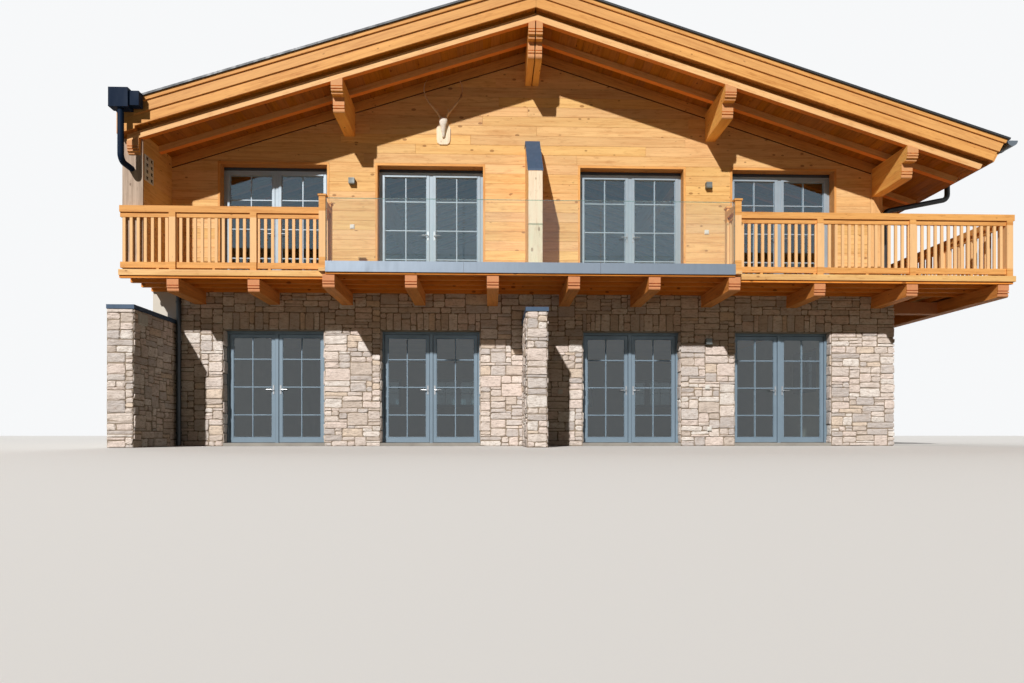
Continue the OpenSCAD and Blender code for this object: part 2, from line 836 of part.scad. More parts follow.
// Timber walls of the upper storey
module front_timber_wall() {
    color(wood_colour) difference() {
        intersection() {
            for (i = [0 : 4])
                block([timber_edges[2 * i], front_y, storey_h],
                    [timber_edges[2 * i + 1], front_y + timber_t, head_z]);
            along_y(front_y, front_y + timber_t) polygon([
                [party_in, storey_h],
                [timber_x, storey_h],
                [timber_x, rafter_under(timber_x)],
                [0, rafter_under(0)],
                [party_in, rafter_under(party_in)]
            ]);
        }
        roof_timbers();
    }
}

module gable_2d(low) {
    polygon([
        [party_in, low],
        [timber_x, low],
        [timber_x, soffit(timber_x) - seat],
        [0, soffit(0) - seat],
        [party_in, soffit(party_in) - seat]
    ]);
}

module front_gable() {
    color(wood_colour) difference() {
        along_y(front_y, front_y + timber_t) gable_2d(head_z);
        roof_timbers();
    }
}

module back_timber_wall() {
    color(wood_colour) difference() {
        along_y(back_y - timber_t, back_y) gable_2d(storey_h);
        for (x = opening_xs)
            block([x - opening_w / 2, back_y - timber_t - eps, upper_sill],
                [x + opening_w / 2, back_y + eps, upper_sill + small_window_h]);
        roof_timbers();
    }
}

module right_timber_wall() {
    color(wood_colour) difference() {
        along_y(front_y + timber_t, back_y - timber_t) polygon([
            [timber_in, storey_h],
            [timber_x, storey_h],
            [timber_x, soffit(timber_x) - seat],
            [timber_in, soffit(timber_in) - seat]
        ]);
        for (y = small_window_ys)
            block([timber_in - eps, y - small_window_w / 2, upper_sill],
                [timber_x + eps, y + small_window_w / 2, upper_sill + small_window_h]);
        side_wall_pockets();
    }
}

// Balcony
module balcony_brackets() {
    color(wood_colour) {
        for (x = concat(left_bracket_xs, right_bracket_xs)) {
            reach = x > glass_left_x && x < glass_right_x + eps ? glass_reach : wood_reach;
            along_x(x - bracket_w / 2, x + bracket_w / 2)
                carved_beam_2d(front_y - reach + bracket_set_in, front_y + bracket_bite, bracket_top,
                    bracket_h, bracket_end_flat, false);
        }
        along_x(edge_beam_x - bracket_w / 2, edge_beam_x + bracket_w / 2)
            carved_beam_2d(wood_y + bracket_set_in, back_y, bracket_top, bracket_h, bracket_end_flat, false);
        for (y = side_bracket_ys)
            block([half_w - bracket_bite, y - bracket_w / 2, bracket_top - bracket_h],
                [edge_beam_x - bracket_w / 2 - seat, y + bracket_w / 2, bracket_top]);
    }
}

module balcony_joists() {
    z0 = bracket_top;
    z1 = bracket_top + joist_h;
    edge_x = side_rail_x - edge_board_t;
    front_step = (wood_reach - edge_board_t - joist_w - wall_gap) / 3;
    side_step = (edge_x - joist_w - side_joist_x) / 3;
    color(dark_wood_colour) {
        for (k = [0 : 3])
            translate([left_x, wood_y + edge_board_t + k * front_step, z0])
                cube([edge_x - left_x, joist_w, joist_h]);
        block([glass_left_x, glass_y + channel_t, z0], [glass_right_x, glass_y + channel_t + joist_w, z1]);
        for (k = [0 : 3])
            translate([side_joist_x + k * side_step, front_y, z0])
                cube([joist_w, house_d, joist_h]);
    }
}

module balcony_deck() {
    z0 = storey_h - deck_t;
    color(wood_colour) difference() {
        union() {
            block([left_x, wood_y + edge_board_t, z0], [side_rail_x - edge_board_t, front_y, storey_h]);
            block([glass_left_x, glass_y + channel_t, z0], [glass_right_x, front_y, storey_h]);
            block([half_w, front_y - eps, z0], [side_rail_x - edge_board_t, back_y, storey_h]);
        }
        translate([pipe_x, pipe_y, z0 - eps]) cylinder(r = pipe_r + pipe_hole_gap, h = deck_t + 2 * eps);
    }
}

module deck_edge_boards() {
    z1 = storey_h + edge_board_rise;
    z0 = z1 - edge_board_h;
    color(wood_colour) {
        block([left_x, wood_y, z0], [glass_left_x, wood_y + edge_board_t, z1]);
        block([glass_right_x, wood_y, z0], [side_rail_x, wood_y + edge_board_t, z1]);
        block([side_rail_x - edge_board_t, wood_y + edge_board_t + seat, z0], [side_rail_x, back_y, z1]);
        for (x = [glass_left_x - post_w, glass_right_x])
            block([x, glass_y, z0], [x + post_w, wood_y - seat, storey_h]);
    }
}

module glass_channel() {
    z0 = storey_h + channel_rise - channel_h;
    span = (glass_right_x - glass_left_x) / glass_panes;
    color(metal_colour)
        for (k = [0 : glass_panes - 1])
            block([glass_left_x + k * span + channel_joint / 2, glass_y, z0],
                [glass_left_x + (k + 1) * span - channel_joint / 2, glass_y + channel_t, z0 + channel_h]);
}

module balcony_glass() {
    span = (glass_right_x - glass_left_x) / glass_panes;
    color(glass_colour)
        for (k = [0 : glass_panes - 1])
            block([glass_left_x + k * span + pane_gap / 2, glass_y + channel_t, storey_h],
                [glass_left_x + (k + 1) * span - pane_gap / 2, glass_y + channel_t + balcony_glass_t,
                storey_h + glass_top]);
}

// One straight length of railing along X from 0, its outer face at y = 0
module railing(length, posts, lip = 0) {
    count = floor((length - baluster_w) / baluster_pitch);
    start = (length - count * baluster_pitch) / 2;
    mid = post_w / 2;
    union() {
        block([0, mid - handrail_t / 2, handrail_z],
            [length + lip, mid + handrail_t / 2, handrail_z + handrail_h]);
        block([0, mid - rail_t / 2, sub_rail_z], [length, mid + rail_t / 2, handrail_z]);
        block([0, mid - rail_t / 2, foot_rail_z], [length, mid + rail_t / 2, baluster_z]);
        for (k = [0 : count])
            translate([start + k * baluster_pitch - baluster_w / 2, mid - baluster_t / 2, baluster_z])
                cube([baluster_w, baluster_t, sub_rail_z - baluster_z]);
        for (x = posts)
            block([x - post_w / 2, 0, storey_h], [x + post_w / 2, post_w, handrail_z]);
    }
}

module front_railings() {
    left_end = glass_left_x - post_w;
    right_start = glass_right_x + post_w;
    right_length = side_rail_x - edge_board_t - right_start;
    color(wood_colour) {
        translate([left_x, wood_y + edge_board_t, 0])
            railing(left_end - left_x, [left_bracket_xs[7] - left_x, left_bracket_xs[6] - left_x]);
        translate([right_start, wood_y + edge_board_t, 0])
            railing(right_length, [
                right_bracket_xs[0] - right_start,
                right_bracket_xs[1] - right_start,
                right_length - post_w / 2
            ], handrail_lip);
    }
}

module side_railing() {
    length = back_y - wing_y;
    inner_x = side_rail_x - edge_board_t - post_w;
    color(wood_colour) {
        translate([side_rail_x - edge_board_t, wing_y, 0])
            rotate([0, 0, 90])
                railing(length, [for (k = [1 : 8]) min(k * side_bracket_pitch, length - post_w / 2)]);
        translate([timber_x, back_y - post_w, 0])
            railing(inner_x - seat - timber_x, [post_w / 2]);
    }
}

// Capped posts that close the ends of the glass, with a short railing back to the wooden one
module glass_end_railings() {
    depth = glass_reach - wood_reach;
    color(wood_colour)
        for (x = [glass_left_x - post_w, glass_right_x])
            for (y = [glass_y + channel_t, wood_y + edge_board_t]) {
                block([x, y, storey_h], [x + post_w, y + post_w, storey_h + rail_top + post_rise]);
                block([x - post_cap_lip, y - post_cap_lip, storey_h + rail_top + post_rise],
                    [x + post_w + post_cap_lip, y + post_w + post_cap_lip,
                    storey_h + rail_top + post_rise + post_cap_t]);
                if (y < wood_y)
                    translate([x + post_w, y + post_w, 0]) rotate([0, 0, 90])
                        railing(depth - channel_t + edge_board_t - post_w, []);
            }
}

// Doors and windows
// Fixed frame round two leaves, from its lower to its upper edge, drawn about x = 0
module door_frame(low, high) {
    for (x = [-opening_w / 2 + frame_w / 2, opening_w / 2 - frame_w / 2])
        block([x - frame_w / 2, 0, low], [x + frame_w / 2, frame_t, high - frame_w - seat]);
    block([-mullion_w / 2, 0, low], [mullion_w / 2, frame_t, high - frame_w - seat]);
    block([-opening_w / 2, 0, high - frame_w], [opening_w / 2, frame_t, high]);
}

module door_frames() {
    color(frame_colour)
        for (x = opening_xs)
            translate([x, frame_y, 0]) door_frame(ground_floor_t, door_head);
}

// Outline of a sash with its pane cut out, in X and Z
module sash_2d(w, h) {
    difference() {
        square([w, h]);
        translate([stile_w, bottom_rail_h]) square([w - 2 * stile_w, h - bottom_rail_h - stile_w]);
    }
}

// Fixed frame and two closed sashes as one, w wide and h high, drawn from its lower left corner
module window_frame(w, h) {
    sash_w = (w - 2 * frame_w - mullion_w) / 2;
    along_y(0, frame_t) difference() {
        square([w, h]);
        for (x = [frame_w + stile_w, frame_w + sash_w + mullion_w + stile_w])
            translate([x, frame_w + window_rail_h])
                square([sash_w - 2 * stile_w, h - 2 * frame_w - 2 * window_rail_h]);
    }
}

module window_panes(w, h) {
    sash_w = (w - 2 * frame_w - mullion_w) / 2;
    for (x = [frame_w + stile_w, frame_w + sash_w + mullion_w + stile_w])
        translate([x, (frame_t - glass_t) / 2, frame_w + window_rail_h])
            cube([sash_w - 2 * stile_w, glass_t, h - 2 * frame_w - 2 * window_rail_h]);
}

// Places its children in every window, turned to face out of its wall
module at_front_windows() {
    for (x = opening_xs)
        translate([x - window_w / 2, frame_y, storey_h]) children();
}

module at_back_windows(sill, wall_inset) {
    for (x = opening_xs)
        translate([x + opening_w / 2, back_y - wall_inset, sill]) rotate([0, 0, 180]) children();
}

module at_side_windows(face_x, sill) {
    for (y = small_window_ys)
        translate([face_x - reveal / 2, y - small_window_w / 2, sill]) rotate([0, 0, 90]) children();
}

module window_frames() {
    color(frame_colour) {
        at_front_windows() window_frame(window_w, window_head - shutter_box_h);
        at_back_windows(ground_sill, reveal) window_frame(opening_w, door_head - ground_sill);
        at_back_windows(upper_sill, reveal / 2) window_frame(opening_w, small_window_h);
        at_side_windows(half_w, ground_sill) window_frame(small_window_w, door_head - ground_sill);
        at_side_windows(timber_x, upper_sill) window_frame(small_window_w, small_window_h);
    }
}

module window_glass() {
    color(glass_colour) {
        at_front_windows() window_panes(window_w, window_head - shutter_box_h);
        at_back_windows(ground_sill, reveal) window_panes(opening_w, door_head - ground_sill);
        at_back_windows(upper_sill, reveal / 2) window_panes(opening_w, small_window_h);
        at_side_windows(half_w, ground_sill) window_panes(small_window_w, door_head - ground_sill);
        at_side_windows(timber_x, upper_sill) window_panes(small_window_w, small_window_h);
    }
}

// Casing of an opening w wide and h high, drawn round its lower left corner, in X and Z
module casing_2d(w, h, sill) {
    difference() {
        translate([-casing_w, sill ? -casing_w : 0])
            square([w + 2 * casing_w, h + casing_w * (sill ? 2 : 1)]);
        translate([0, sill ? 0 : -eps]) square([w, h + (sill ? 0 : eps)]);
    }
}

module window_casings() {
    color(wood_colour) {
        for (x = opening_xs)
            translate([x - window_w / 2, front_y, storey_h])
                along_y(-casing_t, 0) casing_2d(window_w, window_head, false);
        for (x = opening_xs)
            translate([x - opening_w / 2, back_y, upper_sill])
                along_y(0, casing_t) casing_2d(opening_w, small_window_h, true);
        for (y = small_window_ys)
            translate([timber_x, y - small_window_w / 2, upper_sill]) rotate([0, 0, 90])
                along_y(-casing_t, 0) casing_2d(small_window_w, small_window_h, true);
    }
}

module shutter_boxes() {
    color(dark_colour)
        for (x = opening_xs)
            block([x - window_w / 2, frame_y, box_z], [x + window_w / 2, front_y + timber_t, head_z]);
}

module wall_lamps() {
    lamp_x = (inner_opening_x + outer_opening_x) / 2;
    color(dark_colour)
        for (place = [[-lamp_x, storey_h + lamp_h], [lamp_x, storey_h + lamp_h], [lamp_x, lamp_h]])
            block([place[0] - lamp_size / 2, front_y - lamp_size, place[1]],
                [place[0] + lamp_size / 2, front_y, place[1] + lamp_size]);
}

// Door leaves, numbered from the left; odd ones hang at their left edge and even ones at their right
function leaf_left(i) =
    opening_xs[floor((i - 1) / 2)]
    + (i % 2 == 1 ? -opening_w / 2 + frame_w + leaf_gap : mullion_w / 2 + leaf_gap);

// A leaf with its hinges, which stand on the turning axis and fill the running gap at the fixed frame
module leaf_frame(i) {
    hinge_x = leaf_left(i) + (i % 2 == 1 ? 0 : leaf_w);
    color(frame_colour) {
        translate([leaf_left(i), frame_y + frame_t - leaf_t, leaf_low])
            along_y(0, leaf_t) sash_2d(leaf_w, leaf_high - leaf_low);
        for (z = [leaf_low + hinge_inset, (leaf_low + leaf_high) / 2, leaf_high - hinge_inset])
            translate([hinge_x, frame_y + frame_t, z - hinge_h / 2])
                cylinder(r = leaf_gap - seat, h = hinge_h);
    }
}

module leaf_glass(i) {
    color(glass_colour)
        translate([leaf_left(i) + stile_w, frame_y + frame_t - leaf_t / 2 - glass_t / 2,
            leaf_low + bottom_rail_h])
            cube([leaf_w - 2 * stile_w, glass_t, leaf_high - leaf_low - bottom_rail_h - stile_w]);
}

ground_floor();
front_stone_piers();
front_stone_lintel();
right_stone_wall();
back_stone_wall();
party_wall();
stone_screens();
metal_wall_caps();
upper_floor();
front_timber_wall();
front_gable();
right_timber_wall();
back_timber_wall();
timber_wing_wall();
timber_divider();
ridge_purlin();
side_purlins();
left_rafters();
right_rafters();
roof_deck();
roof_covering();
verge_boards();
eaves_board();
ridge_cap();
eaves_gutter();
right_downpipe();
valley_gutter();
rain_hopper();
balcony_brackets();
balcony_joists();
balcony_deck();
deck_edge_boards();
glass_channel();
balcony_glass();
front_railings();
side_railing();
glass_end_railings();
door_frames();
window_frames();
window_glass();
window_casings();
shutter_boxes();
wall_lamps();
for (i = [1 : 8]) {
    leaf_frame(i);
    leaf_glass(i);
}
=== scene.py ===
"""Looks of the alpine chalet: stonework, boards, tiles, glazing bars, fittings, materials, light and camera.

Metres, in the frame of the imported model: X runs to the right along the front, Y into the house and Z up.
"""
import random
from math import cos, pi, radians, sin, tan, tau

import bpy
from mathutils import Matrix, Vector


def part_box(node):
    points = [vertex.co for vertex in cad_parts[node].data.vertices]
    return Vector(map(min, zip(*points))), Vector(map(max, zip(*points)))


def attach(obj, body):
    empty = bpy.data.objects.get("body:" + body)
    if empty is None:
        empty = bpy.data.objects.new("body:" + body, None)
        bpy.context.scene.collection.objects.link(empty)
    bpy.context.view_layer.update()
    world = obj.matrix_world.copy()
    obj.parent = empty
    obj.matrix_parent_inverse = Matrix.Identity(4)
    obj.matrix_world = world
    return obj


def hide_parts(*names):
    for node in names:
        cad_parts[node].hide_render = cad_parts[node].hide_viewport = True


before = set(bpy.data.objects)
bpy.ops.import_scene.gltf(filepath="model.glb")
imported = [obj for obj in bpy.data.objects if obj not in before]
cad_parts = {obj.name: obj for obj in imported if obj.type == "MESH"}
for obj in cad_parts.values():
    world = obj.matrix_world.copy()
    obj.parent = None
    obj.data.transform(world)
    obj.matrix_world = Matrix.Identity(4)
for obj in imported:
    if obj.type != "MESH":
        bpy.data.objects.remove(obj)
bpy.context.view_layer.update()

scene = bpy.context.scene

X = Vector((1, 0, 0))
Y = Vector((0, 1, 0))
Z = Vector((0, 0, 1))

# Sizes of the CAD model, read from its boxes where a box shows them
FRONT_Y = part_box("front_stone_piers")[0].y
BACK_Y = -FRONT_Y
HALF_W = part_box("right_stone_wall")[1].x
TIMBER_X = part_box("right_timber_wall")[1].x
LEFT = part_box("party_wall")[0].x
PARTY_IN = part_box("party_wall")[1].x
WING_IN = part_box("timber_wing_wall")[1].x
STOREY_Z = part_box("upper_floor")[1].z
DOOR_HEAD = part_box("front_stone_piers")[1].z
WINDOW_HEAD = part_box("front_timber_wall")[1].z
WINDOW_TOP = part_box("window_frames")[1].z
FRAME_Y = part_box("door_frames")[0].y
WING_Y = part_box("timber_wing_wall")[0].y
DECK_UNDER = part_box("balcony_deck")[0].z
COVER_LOW, COVER_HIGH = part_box("roof_covering")
COVER_T = 0.036
PITCH = radians(17.5)
SLOPE = tan(PITCH)
RIDGE_SOFFIT = 7.5753
FLOOR_Z = 0.06
OPENING_XS = (-4.88, -1.93, 1.93, 4.88)
OPENING_W = 1.9
WINDOW_W = 2.0
FRAME_W = 0.05
FRAME_T = 0.08
MULLION_W = 0.06
STILE_W = 0.06
WINDOW_RAIL_H = 0.04
GLASS_T = 0.024
SIDE_WINDOW_YS = (-2.9, 2.9)
SIDE_WINDOW_W = 1.2
GROUND_SILL = 1.2
UPPER_SILL = 3.865
UPPER_WINDOW_TOP = 4.665
REVEAL = 0.18
ROOM_XS = (-6.705, 6.655)
ROOM_YS = (-5.41, 5.41)
MIDDLE_VERGE_BOARD = (0.228, 0.401)
LEAVES = range(1, 9)


def soffit(x):
    """Height of the soffit boarding at a distance from the ridge line."""
    return RIDGE_SOFFIT - abs(x) * SLOPE


def down_slope(side):
    """Direction down the roof on the left (-1) or right (1) side."""
    return Vector((side * cos(PITCH), 0, -sin(PITCH)))


# Mesh tools

def linked(name, data):
    """A new object in the scene."""
    thing = bpy.data.objects.new(name, data)
    scene.collection.objects.link(thing)
    return thing


class Solids:
    """Many small closed solids, gathered in one mesh, with the random draws that vary them."""

    def __init__(self, seed=0):
        self.verts = []
        self.faces = []
        self.rng = random.Random(seed)

    def face(self, origin, u_axis, v_axis):
        return Face(self, origin, u_axis, v_axis)

    def loft(self, rings):
        """A solid through rings of equally many points, closed at both ends."""
        start = len(self.verts)
        count = len(rings[0])
        for ring in rings:
            self.verts.extend(ring)
        for k in range(len(rings) - 1):
            for i in range(count):
                a = start + k * count + i
                b = start + k * count + (i + 1) % count
                self.faces.append((a, b, b + count, a + count))
        last = start + (len(rings) - 1) * count
        self.faces.append(tuple(last + i for i in range(count)))
        self.faces.append(tuple(start + count - 1 - i for i in range(count)))

    def box(self, low, high, chamfer):
        """A box with the edges of its foot and top chamfered."""
        (x0, y0, z0), (x1, y1, z1) = low, high
        base = rectangle(x0, y0, x1, y1)
        inner = inset(base, chamfer)
        levels = [(inner, z0), (base, z0 + chamfer), (base, z1 - chamfer), (inner, z1)]
        self.loft([[Vector((x, y, z)) for x, y in points] for points, z in levels])

    def tube(self, points, radii, sides=12):
        """A round bar along a line of points, with a radius for each point."""
        rings = []
        for i, (point, radius) in enumerate(zip(points, radii)):
            before = points[max(i - 1, 0)]
            after = points[min(i + 1, len(points) - 1)]
            along = (after - before).normalized()
            side = along.cross(Z if abs(along.z) < 0.9 else X).normalized()
            up = side.cross(along)
            rings.append([
                point + (side * cos(a) - up * sin(a)) * radius
                for a in (tau * k / sides for k in range(sides))])
        self.loft(rings)

    def pipe(self, x, y, low, high, radius):
        """An upright length of pipe."""
        self.tube([Vector((x, y, low)), Vector((x, y, high))], [radius, radius], 20)

    def make(self, name, material, slot, body="house", smooth=False):
        mesh = bpy.data.meshes.new(name)
        mesh.from_pydata(self.verts, [], self.faces)
        mesh.validate()
        mesh.materials.append(material)
        if smooth:
            mesh.shade_smooth()
        piece = linked(name, mesh)
        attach(piece, body)
        return piece


class Face:
    """A plane that pieces are laid on: u and v run along it, and h runs out from it."""

    def __init__(self, solids, origin, u_axis, v_axis):
        self.solids = solids
        self.rng = solids.rng
        self.origin = origin
        self.u_axis = u_axis
        self.v_axis = v_axis
        self.out = u_axis.cross(v_axis)

    def place(self, u, v, h):
        return self.origin + self.u_axis * u + self.v_axis * v + self.out * h

    def slab(self, outline, low, high, chamfer):
        """A flat piece with a chamfered upper edge."""
        levels = [(outline, low), (outline, high - chamfer), (inset(outline, chamfer), high)]
        self.solids.loft([[self.place(u, v, h) for u, v in points] for points, h in levels])

    def board(self, u0, v0, u1, v1, low, high, chamfer, gap_u=0, gap_v=0):
        """A slab over a rectangle, short of its edges by the gaps."""
        self.slab(rectangle(u0 + gap_u, v0 + gap_v, u1 - gap_u, v1 - gap_v), low, high, chamfer)

    def rough_slab(self, grid, low):
        """A closed piece from rows of (u, v, h) points of its uneven face down to a flat back."""
        verts, faces = self.solids.verts, self.solids.faces
        columns, rows = len(grid[0]), len(grid)
        start, foot = len(verts), len(verts) + columns * rows
        verts.extend(self.place(*point) for row in grid for point in row)
        for j in range(rows - 1):
            for i in range(columns - 1):
                a = start + j * columns + i
                faces.append((a, a + 1, a + columns + 1, a + columns))
        rim = [(i, 0) for i in range(columns)] + [(columns - 1, j) for j in range(1, rows)]
        rim += [(i, rows - 1) for i in range(columns - 2, -1, -1)] + [(0, j) for j in range(rows - 2, 0, -1)]
        for k, (i, j) in enumerate(rim):
            u, v, _ = grid[j][i]
            verts.append(self.place(u, v, low))
            n = (k + 1) % len(rim)
            next_i, next_j = rim[n]
            faces.append((foot + k, foot + n, start + next_j * columns + next_i, start + j * columns + i))
        faces.append(tuple(foot + k for k in range(len(rim) - 1, -1, -1)))


def rectangle(u0, v0, u1, v1):
    return [(u0, v0), (u1, v0), (u1, v1), (u0, v1)]


def inset(points, distance):
    """The outline drawn in by a distance; the points run anticlockwise."""
    result = []
    for i, (bx, by) in enumerate(points):
        ax, ay = points[i - 1]
        cx, cy = points[(i + 1) % len(points)]
        first = Vector((bx - ax, by - ay)).normalized()
        second = Vector((cx - bx, cy - by)).normalized()
        n1 = Vector((-first.y, first.x))
        n2 = Vector((-second.y, second.x))
        move = (n1 + n2) * (distance / max(0.3, 1 + n1.dot(n2)))
        result.append((bx + move.x, by + move.y))
    return result


def clip(points, a, b, c):
    """The part of a convex outline where a * u + b * v is at most c."""
    result = []
    for i, p in enumerate(points):
        q = points[(i + 1) % len(points)]
        p_over = a * p[0] + b * p[1] - c
        q_over = a * q[0] + b * q[1] - c
        if p_over <= 0:
            result.append(p)
        if p_over * q_over < 0:
            t = p_over / (p_over - q_over)
            result.append((p[0] + t * (q[0] - p[0]), p[1] + t * (q[1] - p[1])))
    return result


def split(low, high, shortest, longest, rng):
    """Pairs of edges that part a length into random pieces of about the given sizes."""
    both = shortest + longest
    count = max(1, round((high - low) / rng.uniform(0.45 * both, 0.55 * both)))
    sizes = [rng.uniform(shortest, longest) for _ in range(count)]
    scale = (high - low) / sum(sizes)
    edges = [low]
    for size in sizes:
        edges.append(edges[-1] + size * scale)
    return list(zip(edges, edges[1:]))


def steps(low, high, pitch):
    """Pairs of edges at a fixed pitch, the last one cut short."""
    edges = [low]
    while edges[-1] + pitch * 1.2 < high:
        edges.append(edges[-1] + pitch)
    edges.append(high)
    return list(zip(edges, edges[1:]))


# Materials: colours are given as red, green and blue of 0 to 255 in the display's own curve

def srgb(r, g, b):
    def linear(c):
        c = c / 255
        return c / 12.92 if c <= 0.04045 else ((c + 0.055) / 1.055) ** 2.4
    return (linear(r), linear(g), linear(b), 1)


def toned(colour, *shares):
    """A colour with its red, green and blue each taken by a share."""
    return tuple(c * k for c, k in zip(colour, shares)) + (1,)


class Nodes:
    """Short ways to add nodes to a tree."""

    def __init__(self, tree):
        self.tree = tree

    def node(self, kind, inputs=None, **settings):
        node = self.tree.nodes.new(kind)
        for key, value in settings.items():
            setattr(node, key, value)
        for key, value in (inputs or {}).items():
            self.feed(node.inputs[key], value)
        return node

    def feed(self, socket, value):
        if isinstance(value, bpy.types.NodeSocket):
            self.tree.links.new(value, socket)
        else:
            socket.default_value = value

    def math(self, operation, a, b=0.0):
        return self.node("ShaderNodeMath", {0: a, 1: b}, operation=operation).outputs[0]

    def times(self, a, b):
        return self.math("MULTIPLY", a, b)

    def plus(self, a, b):
        return self.math("ADD", a, b)

    def between(self, value, low, high):
        """1 where a value lies between two limits, and 0 elsewhere."""
        return self.times(self.math("GREATER_THAN", value, low), self.math("LESS_THAN", value, high))

    def axes(self, vector):
        return self.node("ShaderNodeSeparateXYZ", {0: vector}).outputs

    def vector(self, x, y, z):
        return self.node("ShaderNodeCombineXYZ", {0: x, 1: y, 2: z}).outputs[0]

    def mix(self, factor, a, b):
        return self.node("ShaderNodeMix", {0: factor, 6: a, 7: b}, data_type="RGBA").outputs[2]

    def range(self, value, low, high, new_low=0.0, new_high=1.0):
        node = self.node("ShaderNodeMapRange", {0: value, 1: low, 2: high, 3: new_low, 4: new_high})
        return node.outputs[0]

    def stain(self, colour, pattern, low, high, share, other):
        """A colour that turns into another, up to a share, where a pattern rises from low to high."""
        return self.mix(self.range(pattern, low, high, 0.0, share), colour, other)

    def ramp(self, factor, stops, kind="LINEAR"):
        node = self.node("ShaderNodeValToRGB", {0: factor})
        ramp = node.color_ramp
        ramp.interpolation = kind
        while len(ramp.elements) < len(stops):
            ramp.elements.new(0.5)
        for element, (position, colour) in zip(ramp.elements, stops):
            element.position = position
            element.color = colour
        return node.outputs[0]

    def noise(self, vector, scale, detail=4.0, roughness=0.55, distortion=0.0, stretch=None):
        if stretch:
            vector = self.node("ShaderNodeMapping", {"Vector": vector, "Scale": stretch}).outputs[0]
        inputs = {"Vector": vector, "Scale": scale, "Detail": detail, "Roughness": roughness,
                  "Distortion": distortion}
        return self.node("ShaderNodeTexNoise", inputs).outputs["Fac"]


class Shader(Nodes):
    """A material with one main shader, and what its surface can be driven by."""

    def __init__(self, name):
        self.material = bpy.data.materials.new(name)
        self.material.use_nodes = True
        super().__init__(self.material.node_tree)
        self.bsdf = self.tree.nodes["Principled BSDF"]
        self.position = self.node("ShaderNodeTexCoord").outputs["Object"]

    def set(self, **values):
        for key, value in values.items():
            self.feed(self.bsdf.inputs[key.replace("_", " ")], value)

    def bump(self, height, strength, distance):
        node = self.node("ShaderNodeBump", {"Strength": strength, "Distance": distance, "Height": height})
        self.set(Normal=node.outputs[0])

    def island(self):
        return self.node("ShaderNodeNewGeometry").outputs["Random Per Island"]


def grain_space(shader, grain):
    """Object position turned so that its X runs along the grain."""
    x, y, z = shader.axes(shader.position)
    if grain != "slope":
        return shader.vector(*{"x": (x, y, z), "y": (y, x, z), "z": (z, y, x)}[grain])
    off = shader.math("ABSOLUTE", x)
    along = shader.math("SUBTRACT", shader.times(off, cos(PITCH)), shader.times(z, sin(PITCH)))
    across = shader.plus(shader.times(off, sin(PITCH)), shader.times(z, cos(PITCH)))
    return shader.vector(along, y, across)


def wood(name, grain, tones, variety=0.0, knots=1.0, space=None, extra=None):
    """Oiled softwood with growth bands, fine fibres and knots.

    variety is the change from board to board, space lays the grain in its own way, and extra changes the
    colour at the end.
    """
    shader = Shader(name)
    light, dark = (srgb(*tone) for tone in tones)
    place = space(shader) if space else grain_space(shader, grain)
    if variety:
        island = shader.island()
        shift = shader.vector(*(shader.times(island, by) for by in (37.0, 11.0, 23.0)))
        place = shader.node("ShaderNodeVectorMath", {0: place, 1: shift}, operation="ADD").outputs[0]
    bands = shader.noise(place, 1.7, 5.0, 0.6, 0.7, (0.45, 8.0, 8.0))
    fibres = shader.noise(place, 1.5, 3.0, 0.6, 0.2, (1.4, 80.0, 80.0))
    clouds = shader.noise(place, 0.8, 3.0, 0.5, 0.0, (0.5, 1.6, 1.6))
    flecks = shader.noise(place, 1.3, 4.0, 0.65, 0.0, (3.5, 16.0, 16.0))
    tone = shader.plus(shader.times(bands, 0.62), shader.times(fibres, 0.38))
    pale = tuple(min(1, c * 1.12) for c in light)
    colour = shader.ramp(tone, [(0.32, dark), (0.52, light), (0.68, pale)])
    colour = shader.stain(colour, clouds, 0.35, 0.7, 0.34, dark)
    colour = shader.stain(colour, flecks, 0.54, 0.70, 0.42, toned(dark, 0.72, 0.62, 0.52))
    cells = shader.node("ShaderNodeTexVoronoi", {
        "Vector": shader.node("ShaderNodeMapping", {"Vector": place, "Scale": (5.5, 10.0, 10.0)}).outputs[0],
        "Scale": 1.0})
    pick = shader.node("ShaderNodeSeparateColor", {0: cells.outputs["Color"]}).outputs[0]
    size = shader.times(shader.range(pick, 0.55, 1.0), 0.26 * knots)
    away = shader.math("SUBTRACT", cells.outputs["Distance"], size)
    knot = shader.times(shader.math("GREATER_THAN", size, 0.001), shader.range(away, -0.05, 0.03, 1.0, 0.0))
    colour = shader.mix(shader.times(knot, 0.7), colour, toned(dark, 0.4, 0.3, 0.26))
    if extra:
        colour = extra(shader, colour)
    if variety:
        other = shader.math("FRACT", shader.times(island, 7.31))
        colour = shader.node("ShaderNodeHueSaturation", {
            "Color": colour, "Value": shader.range(island, 0.0, 1.0, 1 - variety, 1 + variety),
            "Hue": shader.range(other, 0.0, 1.0, 0.497, 0.503),
            "Saturation": shader.range(other, 0.0, 1.0, 0.95, 1.04)}).outputs[0]
    shader.set(Base_Color=colour, Roughness=0.55, Specular_IOR_Level=0.14)
    height = shader.plus(shader.times(fibres, 0.5), shader.times(bands, 0.4))
    shader.bump(shader.math("SUBTRACT", height, shader.times(knot, 0.15)), 0.25, 0.004)
    return shader.material


def upright_between(low, high):
    """Grain that runs upright between two heights and along the rail outside them, for railings."""
    def space(shader):
        x, y, z = shader.axes(shader.position)
        level = shader.vector(shader.plus(x, y), z, z)
        inside = shader.between(z, low, high)
        inputs = {0: inside, 4: level, 5: shader.vector(z, x, y)}
        return shader.node("ShaderNodeMix", inputs, data_type="VECTOR").outputs[1]
    return space


